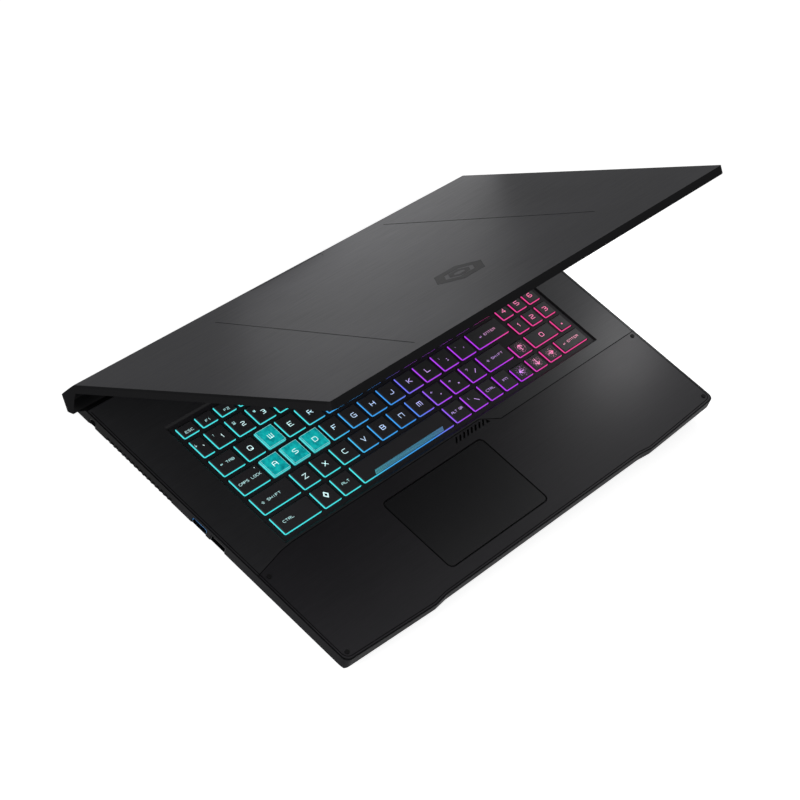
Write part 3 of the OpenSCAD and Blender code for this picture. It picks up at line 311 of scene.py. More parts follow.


# From here backwards along Y the side wall is painted darker, as painted shade.
SIDE_SHADE_FROM = 21 * MM
TONGUE_MIDDLE = 15.5 * MM
TONGUE_HALF = 1.0 * MM
BLUE_FROM = -8 * MM
finishes = {
    # The third colour of each brushed sheet is painted shade on the faces off its plane.
    "lid": brushed_aluminium("brushed_grey_anodised_lid", "#2d2d2f", "#363639", "#161617", LID_OUT, metal=0.9,
                             grazing=0.48),
    "deck": brushed_aluminium("black_anodised_deck", "#2c2c2e", "#363638", "#1a1a1c"),
    "palm": brushed_aluminium("black_anodised_palm_rest", "#222124", "#2b2a2d", "#0c0c0d"),
    # The side wall's rear gets a darker colour: painted shade.
    "side": moulded_plastic("spark_eroded_side_wall_with_painted_shade", "#161618", 0.55, specular=0.08,
                            rear=("#0b0b0c", SIDE_SHADE_FROM)),
    "shell": moulded_plastic("spark_eroded_bottom", "#1d1d1f", 0.6, grain=0.6, depth=0.05, specular=0.3),
    "rubber": moulded_plastic("black_silicone_rubber", "#0a0a0b", 0.75, grain=0.5, depth=0.02, specular=0.15),
    "inner": moulded_plastic("black_nylon", "#131315", 0.5, specular=0.3),
    "bezel": moulded_plastic("matt_bezel_abs", "#111113", 0.55, grain=0.3, specular=0.3),
    "emblem": moulded_plastic("black_lacquered_inlay", "#131315", 0.45, grain=0.2, depth=0.005, spread=0.05,
                              specular=0.012),
    # Near-black for strips and sheets that stand where there is only shade: painted shade.
    "shade": moulded_plastic("painted_shade_black", "#060607", 0.85, specular=0.05),
    "cap": keycap("painted_keycap_with_clear_skirt", "#333235", 0.5),
    "teal": keycap("clear_teal_keycap", "#5fe0e0", 0.35, [(0.32, "#067f86"), (0.5, "#10aeb2"), (0.68, "#19c9c6")]),
    "guide": moulded_plastic("key_guide_abs", "#242326", 0.6, grain=0.4, spread=0.05, specular=0.15),
    "legend": glowing("lit_legend", 0.85, (0.72, 0.1)),
    "small_legend": glowing("lit_small_legend", 0.45, (0.55, 0.3)),
    "strip": glowing("lit_space_bar_strip", 0.46, (0.6, 0.42), "#6fb8b0"),
    "rim": glowing("lit_teal_cap_rim", 0.6, (0.35, 0.3)),
    "speck": glowing("lit_speckle", 0.5, (0.3, 0.25)),
    "pad": moulded_plastic("etched_touchpad_film", "#1a1a1c", 0.38, grain=0.25, depth=0.01, spread=0.05,
                           specular=0.2),
    "film": moulded_plastic("clear_switch_film", "#8d8d92", 0.4, grain=1.0),
    "steel": bare_metal("zinc_plated_steel", "#66686b", "#8a8c90", 0.4),
    "dark_steel": bare_metal("blackened_screw_steel", "#101012", "#1c1c1e", 0.35, spots=1.0),
    "socket": bare_metal("nickel_plated_shell", "#7c7f84", "#a4a7ab", 0.3, spots=1.5),
    "blue_tongue": tongued_socket("nickel_shell_round_blue_tongue", TONGUE_MIDDLE, TONGUE_HALF, BLUE_FROM),
    "board": solder_mask("green_solder_mask"),
    "copper": bare_metal("drawn_copper", "#9a5526", "#c8793e", 0.3, spots=4.0),
    "fins": bare_metal("rolled_aluminium_fins", "#9da0a4", "#c4c7ca", 0.32, spots=3.0),
    "cells": moulded_plastic("wrapped_battery_cell", "#17181b", 0.35, grain=0.8, depth=0.04),
    "hinge": bare_metal("cold_formed_hinge_steel", "#4d4f52", "#707377", 0.38),
    "display": display_glass("anti_glare_display"),
    "sleeve": woven_sleeve("braided_cable_sleeve"),
}

ARROW_KEYS = ("up_key", "left_key", "down_key", "right_key")
TEAL_KEYS = ("key_w", "key_a", "key_s", "key_d")
BLACK_KEYS = ARROW_KEYS + ("space_bar", "enter_key", "left_shift_key", "function_keys", "number_keys",
                           "upper_letter_keys", "home_letter_keys", "lower_letter_keys", "control_keys",
                           "numpad_keys")
node_finish = {
    "bottom_cover": "shell", "side_frame": "side", "keyboard_deck": "deck", "palm_rest": "palm",
    "rubber_feet": "rubber", "cover_screws": "dark_steel", "deck_bumpers": "rubber", "key_grid": "guide",
    "keyboard_plate": "steel", "dome_sheet": "film", "touchpad": "pad", "touchpad_bracket": "steel",
    "touchpad_switch": "socket", "power_button": "deck", "mainboard": "board", "heat_spreaders": "copper",
    "heat_pipes": "copper", "fin_stacks": "fins", "left_fan_housing": "inner", "right_fan_housing": "inner",
    "left_impeller": "inner", "right_impeller": "inner", "battery": "cells", "memory_modules": "board",
    "storage_drive": "board", "wireless_card": "board", "speakers": "inner", "power_socket": "inner",
    "left_usb_sockets": "blue_tongue", "right_usb_sockets": "socket", "video_socket": "socket",
    "network_socket": "inner", "audio_socket": "inner", "hinge_brackets": "hinge", "hinge_pins": "hinge",
    "lid_cover": "lid", "screen_bezel": "bezel", "display_panel": "display", "webcam": "bezel",
    "hinge_arms": "hinge", "display_cable": "sleeve",
}
node_finish.update({name: "cap" for name in BLACK_KEYS})
node_finish.update({name: "teal" for name in TEAL_KEYS})
for name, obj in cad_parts.items():
    obj.data.materials.clear()
    obj.data.materials.append(finishes[node_finish[name]])

# ---- Key legends ----------------------------------------------------------------
# One string for each glyph: strokes parted by spaces, each a run of points on a grid 4 wide and 6 high,
# in square-cut shapes.
GLYPHS = {
    "A": "00-05-16-36-45-40 03-43", "B": "00-06-36-45-44-33-03 33-42-41-30-00", "C": "46-16-05-01-10-40",
    "D": "00-06-36-45-41-30-00", "E": "46-06-00-40 03-33", "F": "46-06-00 03-33",
    "G": "46-16-05-01-10-40-43-23", "H": "00-06 40-46 03-43", "I": "20-26", "J": "46-41-30-10-01",
    "K": "00-06 46-13-40", "L": "06-00-40", "M": "00-06-46-40 26-20", "N": "00-06-46-40",
    "O": "10-01-05-16-36-45-41-30-10", "P": "00-06-36-45-44-33-03",
    "Q": "10-01-05-16-36-45-41-30-10 22-40", "R": "00-06-36-45-44-33-03 23-40",
    "S": "46-16-05-04-13-33-42-41-30-00", "T": "06-46 26-20", "U": "06-01-10-30-41-46", "V": "06-20-46",
    "W": "06-00-40-46 26-20", "X": "06-40 00-46", "Y": "06-23-46 23-20", "Z": "06-46-00-40",
    "0": "10-01-05-16-36-45-41-30-10", "1": "14-26-20", "2": "06-36-45-44-33-13-02-00-40",
    "3": "06-36-45-44-33-13 33-42-41-30-00", "4": "30-36-02-42", "5": "46-06-03-33-42-41-30-00",
    "6": "46-16-05-01-10-30-41-42-33-03", "7": "06-46-20", "8": "13-04-05-16-36-45-44-33-13-02-01-10-30-41-42-33",
    "9": "43-13-04-05-16-36-45-41-30-00", "-": "03-43", "+": "03-43 21-25", "=": "02-42 04-44",
    ".": "10-20-21-11-10", ",": "11-21-10", "/": "00-46", "\\": "06-40", ";": "14-24 11-21-10", "'": "26-24",
    "`": "16-24", "[": "36-16-10-30", "]": "16-36-30-10", "*": "03-43 11-35 15-31",
    "^": "20-26 04-26-44", "~": "20-26 02-20-42", "<": "43-03 25-03-21", ">": "03-43 21-43-25",
    "!": "26-22 20-21", "#": "02-42 04-44 10-16 30-36", "%": "00-46 05-15 31-41", "&": "40-04-16-24-01-10-43",
    "(": "36-25-21-30", ")": "16-25-21-10", ":": "14-24 11-21", "?": "05-16-36-45-44-22 20-21",
    "_": "00-40", "|": "20-26", "{": "36-25-24-13-22-21-30", "}": "16-25-24-33-22-21-10",
    "$": "45-05-03-43-41-01 26-20",
    "@": "31-11-13-33-31-42-46-06-00-40", "o": "20-03-26-43-20", "n": "45-42-02 24-02-20",
    "s": "10-13-03-26-43-33-30-10", "t": "05-45 34-45 43-03 14-03", " ": "",
}
# Lengths of the keyboard in millimetres; a unit is one pitch.
PITCH = 19.2
CAP_GAP = 3.1
KEYS_START = -160.01
LETTER_DEPTH = 16.1
PAD_DEPTH = 12.9
TOP_DEPTH = 6.9
PAD_START = 14.457
PAD_UNIT = 0.7977
# For each row: node, front edge, cap depth, first unit, widths in units, labels.
# A label is its main word, or its main and its upper word parted by a line break. In labels o is a diamond,
# n, s and t are the bent, the upward and the double arrow, and ^ ~ < > are arrows too.
KEY_ROWS = [
    ("function_keys", 57.4, TOP_DEPTH, 0, [0.89875] * 16,
     "ESC F1 F2 F3 F4 F5 F6 F7 F8 F9 F10 F11 F12 PRT INS DEL".split()),
    ("number_keys", 38.2, LETTER_DEPTH, 0, [0.7] + [1] * 12 + [1.68],
     ["`\n~", "1\n!", "2\n@", "3\n#", "4\n$", "5\n%", "6\n^", "7\n&", "8\n*", "9\n(", "0\n)", "-\n_", "=\n+",
      "< BACK"]),
    ("upper_letter_keys", 19.0, LETTER_DEPTH, 0, [1.2] + [1] * 12 + [1.18],
     ["t TAB", "Q", "W", "E", "R", "T", "Y", "U", "I", "O", "P", "[\n{", "]\n}", "\\\n|"]),
    ("home_letter_keys", -0.2, LETTER_DEPTH, 0, [1.45] + [1] * 11 + [1.93],
     ["CAPS LOCK", "A", "S", "D", "F", "G", "H", "J", "K", "L", ";\n:", "'\n`", "n ENTER"]),
    ("lower_letter_keys", -19.4, LETTER_DEPTH, 0, [1.95] + [1] * 10 + [1.565],
     ["s SHIFT", "Z", "X", "C", "V", "B", "N", "M", ",\n<", ".\n>", "/\n?", "s SHIFT"]),
    ("control_keys", -38.6, LETTER_DEPTH, 0, [1.97, 1, 1, 4.97, 1, 0.96, 0.87, 0.87],
     ["CTRL", "o", "ALT", "", "ALT GR", "\\\n|", "CTRL", "FN"]),
    ("numpad_keys", -38.6, PAD_DEPTH, 15.28, [1.57], ["n ENTER"]),
    ("numpad_keys", -22.6, PAD_DEPTH, PAD_START, [1.5953, PAD_UNIT], ["0", "."]),
    ("numpad_keys", -6.6, PAD_DEPTH, PAD_START, [PAD_UNIT] * 3, ["1", "2", "3"]),
    ("numpad_keys", 9.4, PAD_DEPTH, PAD_START, [PAD_UNIT] * 3, ["4", "5", "6"]),
    ("numpad_keys", 25.4, PAD_DEPTH, PAD_START, [PAD_UNIT] * 3, ["7", "8", "9"]),
    ("numpad_keys", 41.4, PAD_DEPTH, PAD_START, [PAD_UNIT] * 3, ["NUM", "/", "*"]),
    ("numpad_keys", 57.4, TOP_DEPTH, PAD_START, [PAD_UNIT] * 3, ["-", "+", "="]),
    ("up_key", -22.6, PAD_DEPTH, 13.515, [0.942], ["^"]),
    ("left_key", -38.6, PAD_DEPTH, 12.64, [0.9], ["<"]),
    ("down_key", -38.6, PAD_DEPTH, 13.54, [0.87], ["~"]),
    ("right_key", -38.6, PAD_DEPTH, 14.41, [0.87], [">"]),
]
# Keys of a row that are nodes of their own, by their row and their number in it.
OWN_NODE = {("upper_letter_keys", 2): "key_w", ("home_letter_keys", 1): "key_a", ("home_letter_keys", 2): "key_s",
            ("home_letter_keys", 3): "key_d", ("home_letter_keys", 12): "enter_key",
            ("lower_letter_keys", 0): "left_shift_key", ("control_keys", 3): "space_bar"}
# Words that aren't centred on their keys, and how far they are shifted along X.
ASIDE = {("control_keys", 0): -7.0, ("lower_letter_keys", 0): -3.8}

# Signs are raised by a hair. Each size is the width, the height and the stroke of one sign in millimetres.
LEGEND_TOP = CAP_TOP + 0.04 * MM
MAIN_SIGN = (2.9, 3.0, 0.48)
UPPER_SIGN = (1.9, 2.0, 0.34)
ARROW_SIGN = (4.6, 5.0, 0.75)
DIAMOND_SIGN = (3.6, 4.4, 0.9)
LETTER_SIGN = (3.6, 3.42, 0.52)
LOW_KEY_SIGN = (2.6, 2.47, 0.52)
MAIN_AT = Vector((1.6, -1.0)) * MM
UPPER_AT = Vector((-3.8, 2.6)) * MM
# In words the letters stand this far apart, or closer where a key is narrow.
WORD_ADVANCE = 2.55
WORD_MARGIN = 4.5
WORD_FILL = 0.74
WORD_HEIGHT = 1.7
WORD_STROKE = 0.34
LOCK_LAMP_AT = Vector((-3.2, -2.6)) * MM
LOCK_LAMP = 0.6 * MM
RIM_INSET = 0.75 * MM
RIM_WIDTH = 0.22 * MM
# Finishes of a legend mesh, and the numbers of the last two in it.
LEGEND_FINISHES = ["legend", "small_legend", "rim"]
SMALL = 1
RIM = 2
# The cosine of half a turn below which a mitre is cut short.
MITRE_LEAST = 0.45


def stroke(mesh, points, width, low, high, slot=0):
    """Adds a flat bar of one width along a run of points, with mitred bends, in one of the mesh's materials."""
    points = [Vector(p) for p in points]
    closed = (points[0] - points[-1]).length < 1e-9
    if closed:
        points = points[:-1]
    count = len(points)
    sides = []
    for i, here in enumerate(points):
        before = points[i - 1] if (i or closed) else None
        after = points[(i + 1) % count] if (i < count - 1 or closed) else None
        into = (here - before).normalized() if before is not None else (after - here).normalized()
        out = (after - here).normalized() if after is not None else into
        bend = (into + out).normalized()
        reach = width / 2 / max(MITRE_LEAST, bend.dot(out))
        sides.append((here, Vector((-bend.y, bend.x)) * reach))
    rings = [[mesh.verts.new((*(here + across * k), z)) for k, z in ((1, low), (-1, low), (-1, high), (1, high))]
             for here, across in sides]
    last = count if closed else count - 1
    for i in range(last):
        a, b = rings[i], rings[(i + 1) % count]
        for j in range(4):
            mesh.faces.new((a[j], a[(j + 1) % 4], b[(j + 1) % 4], b[j])).material_index = slot
    if not closed:
        mesh.faces.new(reversed(rings[0])).material_index = slot
        mesh.faces.new(rings[-1]).material_index = slot


def write_word(mesh, word, centre, wide, height, thick, advance=0.0, slot=0):
    """Writes a word in strokes on the caps, centred on a point; lengths in millimetres, the point in metres."""
    start = centre.x - ((len(word) - 1) * advance + wide) * MM / 2
    for place, letter in enumerate(word):
        left = start + place * advance * MM
        for run in GLYPHS[letter].split():
            points = [(left + int(p[0]) * wide * MM / 4, centre.y + (int(p[1]) - 3) * height * MM / 6)
                      for p in run.split("-")]
            stroke(mesh, points, thick * MM, CAP_TOP, LEGEND_TOP, slot)


def frame_points(low, high, inset):
    """Corners of a rectangle a little inside a cap's edges, closed."""
    left, front, right, rear = low.x + inset, low.y + inset, high.x - inset, high.y - inset
    return [(left, front), (right, front), (right, rear), (left, rear), (left, front)]


legend_meshes = {}
for row_node, front, depth, first, widths, labels in KEY_ROWS:
    start = first
    for index, (units, label) in enumerate(zip(widths, labels)):
        node = OWN_NODE.get((row_node, index), row_node)
        low = Vector((KEYS_START + start * PITCH, front)) * MM
        high = low + Vector((units * PITCH - CAP_GAP, depth)) * MM
        start += units
        mesh = legend_meshes.setdefault(node, bmesh.new())
        middle = (low + high) / 2
        main, _, upper = label.partition("\n")
        if upper:
            write_word(mesh, main, middle + MAIN_AT, *MAIN_SIGN)
            write_word(mesh, upper, middle + UPPER_AT, *UPPER_SIGN, slot=SMALL)
        elif row_node in ARROW_KEYS:
            write_word(mesh, main, middle, *ARROW_SIGN)
        elif main == "o":
            write_word(mesh, main, middle, *DIAMOND_SIGN)
        elif len(main) == 1:
            write_word(mesh, main, middle, *(LETTER_SIGN if depth > TOP_DEPTH else LOW_KEY_SIGN))
        elif main:
            advance = min(WORD_ADVANCE, ((high.x - low.x) / MM - WORD_MARGIN) / len(main))
            aside = Vector((ASIDE.get((row_node, index), 0), 0)) * MM
            write_word(mesh, main, middle + aside, advance * WORD_FILL, WORD_HEIGHT, WORD_STROKE, advance, SMALL)
        if label == "CAPS LOCK":
            lamp_at = high + LOCK_LAMP_AT
            half = Vector((LOCK_LAMP / 2, 0))
            stroke(mesh, [lamp_at - half, lamp_at + half], LOCK_LAMP, CAP_TOP, LEGEND_TOP)
        if node in TEAL_KEYS:
            stroke(mesh, frame_points(low, high, RIM_INSET), RIM_WIDTH, CAP_TOP, LEGEND_TOP, RIM)


def add_piece(name, data, body):
    """Shows a mesh as a finished piece that rides on a body."""
    made = bpy.data.objects.new(name, data)
    scene.collection.objects.link(made)
    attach(made, body)


def plain_mesh(name, mesh, finish_names):
    """Turns a bmesh into a mesh with its materials."""
    bmesh.ops.recalc_face_normals(mesh, faces=mesh.faces)
    data = bpy.data.meshes.new(name)
    mesh.to_mesh(data)
    mesh.free()
    for finish in finish_names:
        data.materials.append(finishes[finish])
    return data


for node, mesh in legend_meshes.items():
    if mesh.faces:
        add_piece(node + "_legends", plain_mesh(node + "_legends", mesh, LEGEND_FINISHES), "cap_" + node)


# ---- Repeated ornaments, grown by node trees -------------------------------------
def new_tree(name, sizes):
    """A geometry tree with named number inputs; returns it, its input and its output node."""
    made = bpy.data.node_groups.new(name, "GeometryNodeTree")
    for size in sizes:
        made.interface.new_socket(name=size, in_out="INPUT",
                                  socket_type="NodeSocketInt" if size in ("Count", "Seed") else "NodeSocketFloat")
    made.interface.new_socket(name="Geometry", in_out="OUTPUT", socket_type="NodeSocketGeometry")
    return made, add(made, "NodeGroupInput"), add(made, "NodeGroupOutput")


def grow(name, tree, values):
    """Runs a geometry tree with its inputs set, and returns the result as a plain mesh."""
    bare = bpy.data.objects.new(name, bpy.data.meshes.new(name + "_bare"))
    scene.collection.objects.link(bare)
    modifier = bare.modifiers.new("grown", "NODES")
    modifier.node_group = tree
    for item in tree.interface.items_tree:
        if item.in_out == "INPUT":
            modifier[item.identifier] = values[item.name]
    made = bpy.data.meshes.new_from_object(bare.evaluated_get(bpy.context.evaluated_depsgraph_get()))
    bare.modifiers.remove(modifier)
    bpy.data.objects.remove(bare)
    made.name = name
    return made


def hatch_tree():
    """A row of slanted bars along X, each a box of a width, length and height."""
    tree, given, result = new_tree("slanted_bars", ["Count", "Pitch", "Width", "Length", "Height", "Slant",
                                                    "Start X", "Start Y", "Start Z"])
    start = add(tree, "ShaderNodeCombineXYZ", {"X": given.outputs["Start X"], "Y": given.outputs["Start Y"],
                                               "Z": given.outputs["Start Z"]})
    step = add(tree, "ShaderNodeCombineXYZ", {"X": given.outputs["Pitch"]})
    row = add(tree, "GeometryNodeMeshLine", {"Count": given.outputs["Count"], "Start Location": start.outputs[0],
                                             "Offset": step.outputs[0]})
    size = add(tree, "ShaderNodeCombineXYZ", {"X": given.outputs["Width"], "Y": given.outputs["Length"],
                                              "Z": given.outputs["Height"]})
    bar = add(tree, "GeometryNodeMeshCube", {"Size": size.outputs[0]})
    turn = add(tree, "ShaderNodeCombineXYZ", {"Z": given.outputs["Slant"]})
    bars = add(tree, "GeometryNodeInstanceOnPoints", {"Points": row.outputs[0], "Instance": bar.outputs["Mesh"],
                                                      "Rotation": turn.outputs[0]})
    real = add(tree, "GeometryNodeRealizeInstances", {0: bars.outputs[0]})
    dressed = add(tree, "GeometryNodeSetMaterial", {"Geometry": real.outputs[0], "Material": finishes["strip"]})
    tree.links.new(dressed.outputs[0], result.inputs[0])
    return tree


def speckle_tree():
    """Small square specks scattered round a centre, thinning out to a radius."""
    tree, given, result = new_tree("scattered_specks", ["Seed", "Density", "Radius", "Size", "Height",
                                                        "Centre X", "Centre Y", "Centre Z"])
    side = add(tree, "ShaderNodeMath", {0: given.outputs["Radius"], 1: 2.0}, operation="MULTIPLY")
    field = add(tree, "GeometryNodeMeshGrid", {"Size X": side.outputs[0], "Size Y": side.outputs[0],
                                               "Vertices X": 2, "Vertices Y": 2})
    place = add(tree, "GeometryNodeInputPosition")
    away = add(tree, "ShaderNodeVectorMath", {0: place.outputs[0]}, operation="LENGTH")
    near = add(tree, "ShaderNodeMath", {0: away.outputs["Value"], 1: given.outputs["Radius"]},
               operation="LESS_THAN")
    points = add(tree, "GeometryNodeDistributePointsOnFaces", {"Mesh": field.outputs["Mesh"],
                                                               "Density": given.outputs["Density"],
                                                               "Seed": given.outputs["Seed"]})
    far = add(tree, "ShaderNodeMath", {0: 1.0, 1: near.outputs[0]}, operation="SUBTRACT")
    kept = add(tree, "GeometryNodeDeleteGeometry", {"Geometry": points.outputs["Points"],
                                                    "Selection": far.outputs[0]}, domain="POINT")
    size = add(tree, "ShaderNodeCombineXYZ", {"X": given.outputs["Size"], "Y": given.outputs["Size"],
                                              "Z": given.outputs["Height"]})
    speck = add(tree, "GeometryNodeMeshCube", {"Size": size.outputs[0]})
    scale = add(tree, "ShaderNodeMapRange", {"Value": away.outputs["Value"], "From Max": given.outputs["Radius"],
                                             "To Min": 1.2, "To Max": 0.5})
    specks = add(tree, "GeometryNodeInstanceOnPoints", {"Points": kept.outputs[0], "Instance": speck.outputs["Mesh"],
                                                        "Scale": scale.outputs[0]})
    real = add(tree, "GeometryNodeRealizeInstances", {0: specks.outputs[0]})
    centre = add(tree, "ShaderNodeCombineXYZ", {"X": given.outputs["Centre X"], "Y": given.outputs["Centre Y"],
                                                "Z": given.outputs["Centre Z"]})
    moved = add(tree, "GeometryNodeTransform", {"Geometry": real.outputs[0], "Translation": centre.outputs[0]})
    dressed = add(tree, "GeometryNodeSetMaterial", {"Geometry": moved.outputs[0], "Material": finishes["speck"]})
    tree.links.new(dressed.outputs[0], result.inputs[0])
    return tree


# ---- Strip of slanted bars on the space bar, and specks on the arrow keys --------------
BAR_COUNT = 70
BAR_PITCH = 1.0 * MM
BAR_WIDTH = 0.45 * MM
BAR_LENGTH = 4.0 * MM
BAR_HEIGHT = 0.05 * MM
BAR_SLANT = math.radians(-32)
STRIP_MIDDLE = -36 * MM
STRIP_FROM_EDGE = 2.3 * MM
hatch = grow("space_bar_strip", hatch_tree(), {
    "Count": BAR_COUNT, "Pitch": BAR_PITCH, "Width": BAR_WIDTH, "Length": BAR_LENGTH, "Height": BAR_HEIGHT,
    "Slant": BAR_SLANT, "Start X": STRIP_MIDDLE - BAR_COUNT * BAR_PITCH / 2,
    "Start Y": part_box("space_bar")[0].y + STRIP_FROM_EDGE, "Start Z": CAP_TOP})
add_piece("space_bar_strip", hatch, "cap_space_bar")

FIRST_SEED = 3
SPECKS_PER_AREA = 1.1e6
SPECKLE_RADIUS = 4.9 * MM
SPECK_SIZE = 0.42 * MM
SPECK_HEIGHT = 0.06 * MM
specks_tree = speckle_tree()
for number, node in enumerate(ARROW_KEYS):
    low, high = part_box(node)
    specks = grow(node + "_speckle", specks_tree, {
        "Seed": FIRST_SEED + number, "Density": SPECKS_PER_AREA, "Radius": SPECKLE_RADIUS, "Size": SPECK_SIZE,
        "Height": SPECK_HEIGHT, "Centre X": (low.x + high.x) / 2, "Centre Y": (low.y + high.y) / 2,
        "Centre Z": CAP_TOP})
    add_piece(node + "_speckle", specks, "cap_" + node)


# ---- Painted shade in the gaps of the top ---------------------------------------------
# Black strips lie in the gaps as painted shade, drawn wider than the solids' own gaps so that they show: a step
# along the rim, the seam, the touchpad. Lengths are in millimetres; the outlines repeat those of the solids.
def rounded(x, y, radius, first):
    """Points of a quarter circle round a centre, from an angle in degrees."""
    return [(x + radius * math.cos(math.radians(a)), y + radius * math.sin(math.radians(a)))
            for a in range(first, first + 91, 15)]


GAP_WIDTH = 0.6
GAP_SUNK = 0.05
GAP_RAISED = 0.02
RIM_STEP = 2.2
RIM_END = 3
HALF_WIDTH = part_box("side_frame")[1].x / MM
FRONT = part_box("side_frame")[0].y / MM
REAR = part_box("keyboard_deck")[1].y / MM
# The front edge's shallow notch: half its width at the bottom and at the mouth, and its depth.
NOTCH_BOTTOM, NOTCH_MOUTH, NOTCH_DEPTH = 105.0, 117.0, 1.6
BOW = 3.6
CORNER = 5.0
SEAM = [(-171, -46.1), (-160, -45.2), (27.5, -45.2), (42, -53.6)]
SEAM_LEFT_Y = -51.8
SEAM_RIGHT_Y = -53.4
PAD_CLEAR = 0.5
PAD_CORNER = 4.0
line_x = HALF_WIDTH - RIM_STEP
line_y = FRONT + RIM_STEP
corner_y = line_y + BOW + CORNER
rim_line = [(-line_x, REAR - RIM_END), *rounded(CORNER - line_x, corner_y, CORNER, 180),
            (-NOTCH_MOUTH, line_y), (-NOTCH_BOTTOM, line_y + NOTCH_DEPTH),
            (NOTCH_BOTTOM, line_y + NOTCH_DEPTH), (NOTCH_MOUTH, line_y),
            *rounded(line_x - CORNER, corner_y, CORNER, 270), (line_x, REAR - RIM_END)]
seam_line = [(-line_x, SEAM_LEFT_Y), *SEAM, (line_x, SEAM_RIGHT_Y)]
pad_low, pad_high = [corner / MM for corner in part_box("touchpad")]
reach = PAD_CORNER - PAD_CLEAR
bend = PAD_CORNER + GAP_WIDTH / 2
pad_line = [*rounded(pad_high.x - reach, pad_high.y - reach, bend, 0),
            *rounded(pad_low.x + reach, pad_high.y - reach, bend, 90),
            *rounded(pad_low.x + reach, pad_low.y + reach, bend, 180),
            *rounded(pad_high.x - reach, pad_low.y + reach, bend, 270)]
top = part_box("palm_rest")[1].z
gaps = bmesh.new()
for run in (rim_line, seam_line, pad_line + pad_line[:1]):
    stroke(gaps, [(x * MM, y * MM) for x, y in run], GAP_WIDTH * MM, top - GAP_SUNK * MM, top + GAP_RAISED * MM)
add_piece("deck_gap_painted_shade", plain_mesh("deck_gap_painted_shade", gaps, ["shade"]), "base")

# ---- Black sheets inside the outlets of both side walls, as painted shade ----------------
# Each follows its wall just inside the skin: distance inward from the wall, and height, in millimetres.
SHADE_PROFILE = [(0.35, 15.9), (0.35, 12.7), (2.47, 11.0), (2.97, 11.0), (0.85, 12.6), (0.85, 15.9)]
SHADE_ENDS = (25.5, 90.5)
outlet_shade = bmesh.new()
for side in (-1, 1):
    near, far = [[outlet_shade.verts.new((side * (HALF_WIDTH - x) * MM, y * MM, z * MM)) for x, z in SHADE_PROFILE]
                 for y in SHADE_ENDS]
    for i in range(len(near)):
        j = (i + 1) % len(near)
        outlet_shade.faces.new((near[i], near[j], far[j], far[i]))
    outlet_shade.faces.new(near)
    outlet_shade.faces.new(reversed(far))
add_piece("outlet_painted_shade", plain_mesh("outlet_painted_shade", outlet_shade, ["shade"]), "base")

# ---- Plain inlay on the lid ---------------------------------------------------------
# Two six-sided rings in lacquer, drawn in the lid's own plane: X across, and Y from the hinge outward.
# Each ring has a radius and a width in millimetres.
HINGE_AXIS = Vector((0.0, 0.12525, 0.01166))
LID_ALONG = Vector((0.0, -math.cos(LID_TILT), math.sin(LID_TILT)))
INLAY_RINGS = ((12.2, 6.6), (5.0, 3.6))
INLAY_FROM_HINGE = 181.5
INLAY_WIDER = 1.45
INLAY_SUNK = 0.1
INLAY_RAISED = 0.05
lid_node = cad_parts["lid_cover"]
lid_skin = max((lid_node.matrix_world @ v.co - HINGE_AXIS).dot(Vector(LID_OUT)) for v in lid_node.data.vertices)
inlay = bmesh.new()
for radius, width in INLAY_RINGS:
    ring = [(INLAY_WIDER * radius * MM * math.sin(math.radians(a)),
             (INLAY_FROM_HINGE + radius * math.cos(math.radians(a))) * MM) for a in range(30, 391, 60)]
    stroke(inlay, ring, width * MM, lid_skin - INLAY_SUNK * MM, lid_skin + INLAY_RAISED * MM)
in_lid = Matrix((Vector((1, 0, 0)), LID_ALONG, Vector(LID_OUT))).transposed()
bmesh.ops.transform(inlay, matrix=Matrix.Translation(HINGE_AXIS) @ in_lid.to_4x4(), verts=inlay.verts)
add_piece("lid_inlay", plain_mesh("lid_inlay", inlay, ["emblem"]), "lid")

# ---- Room ---------------------------------------------------------------------
FLOOR_HALF = 6
# Share of white that the floor adds to its own grey where it is background.
FLOOR_WHITE = 0.8
AIR_LIGHT = 0.28


def shows_background(tree):
    """Is 1 for the rays that show the white room: those of the camera, of gloss and through glass."""
    path = add(tree, "ShaderNodeLightPath")
    direct = add(tree, "ShaderNodeMath", {0: path.outputs["Is Camera Ray"], 1: path.outputs["Is Glossy Ray"]},
                 operation="MAXIMUM")
    return add(tree, "ShaderNodeMath", {0: direct.outputs[0], 1: path.outputs["Is Transmission Ray"]},
               operation="MAXIMUM").outputs[0]


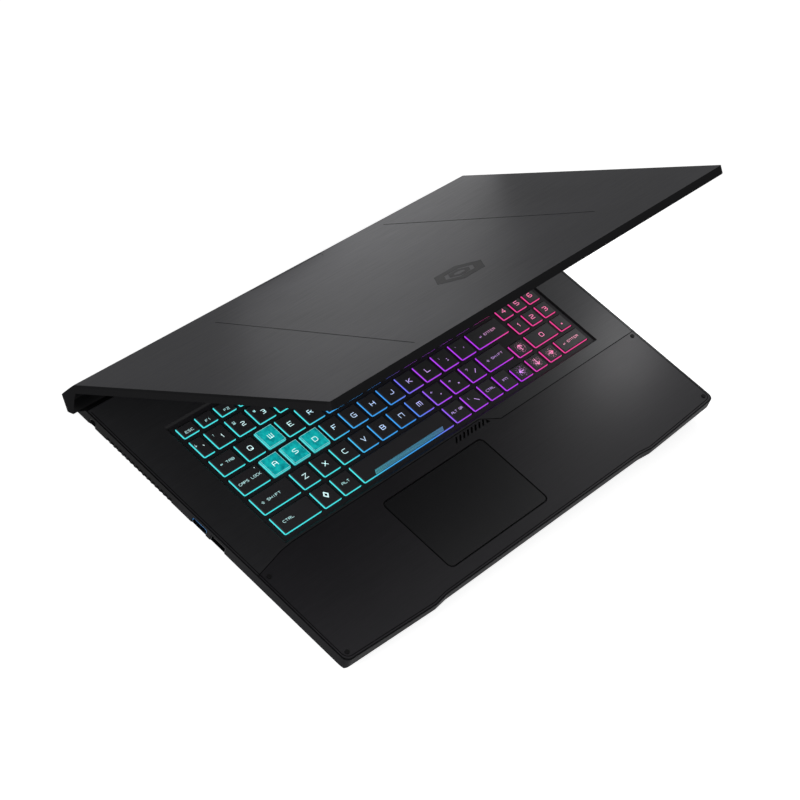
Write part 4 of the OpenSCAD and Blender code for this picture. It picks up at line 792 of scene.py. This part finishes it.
floor_mesh = bpy.data.meshes.new("floor")
floor_mesh.from_pydata([(x * FLOOR_HALF, y * FLOOR_HALF, 0) for x, y in ((-1, -1), (1, -1), (1, 1), (-1, 1))],
                       [], [(0, 1, 2, 3)])
floor = bpy.data.objects.new("floor", floor_mesh)
scene.collection.objects.link(floor)
paper, tree, _ = new_material("white_paper_ground")
seen = shows_background(tree)
matt = add(tree, "ShaderNodeBsdfDiffuse", {"Color": linear("#e9e9e9")})
white = add(tree, "ShaderNodeEmission", {"Color": linear("#ffffff"), "Strength": FLOOR_WHITE})
both = add(tree, "ShaderNodeAddShader", {0: matt.outputs[0], 1: white.outputs[0]})
mixed = add(tree, "ShaderNodeMixShader", {"Fac": seen, 1: matt.outputs[0], 2: both.outputs[0]})
add(tree, "ShaderNodeOutputMaterial", {"Surface": mixed.outputs[0]})
floor_mesh.materials.append(paper)

world = bpy.data.worlds.new("room")
scene.world = world
world.use_nodes = True
tree = world.node_tree
tree.nodes.clear()
seen = shows_background(tree)
air = add(tree, "ShaderNodeBackground", {"Color": linear("#ffffff"), "Strength": AIR_LIGHT})
back = add(tree, "ShaderNodeBackground", {"Color": linear("#ffffff"), "Strength": 1.0})
sky = add(tree, "ShaderNodeMixShader", {"Fac": seen, 1: air.outputs[0], 2: back.outputs[0]})
add(tree, "ShaderNodeOutputWorld", {"Surface": sky.outputs[0]})


def toward(place, aim):
    """Turning angles of a panel at one point that faces another."""
    return (Vector(aim) - Vector(place)).to_track_quat("-Z", "Y").to_euler()


def panel(name, place, turned, size, power, shown=False):
    """A white light panel: place and size in metres, power in watts, and whether the camera sees it."""
    data = bpy.data.lights.new(name, "AREA")
    data.shape = "RECTANGLE"
    data.size, data.size_y = size
    data.energy = power
    made = bpy.data.objects.new(name, data)
    made.location = place
    made.rotation_euler = turned
    made.visible_camera = shown
    scene.collection.objects.link(made)


# The first lies low behind the right rear corner and faces up, turned along the sheen that it puts on the lid.
# The second, close under the lid's front right corner, lights the palm rest there.
LID_PANEL_AT = (0.258, -0.03, 0.10)
LEFT_FILL_AT = (-0.75, -0.12, 0.42)
panel("rear_floor_strip", (0.235, 0.362, 0.012), (math.pi, 0, -math.atan2(0.19, 0.358)), (0.26, 0.5), 1.05)
panel("under_lid_panel", LID_PANEL_AT, toward(LID_PANEL_AT, (0.238, -0.04, 0.0)), (0.05, 0.09), 0.08)
panel("left_fill", LEFT_FILL_AT, toward(LEFT_FILL_AT, (-0.1, 0.0, 0.02)), (0.5, 0.3), 1.9, shown=True)
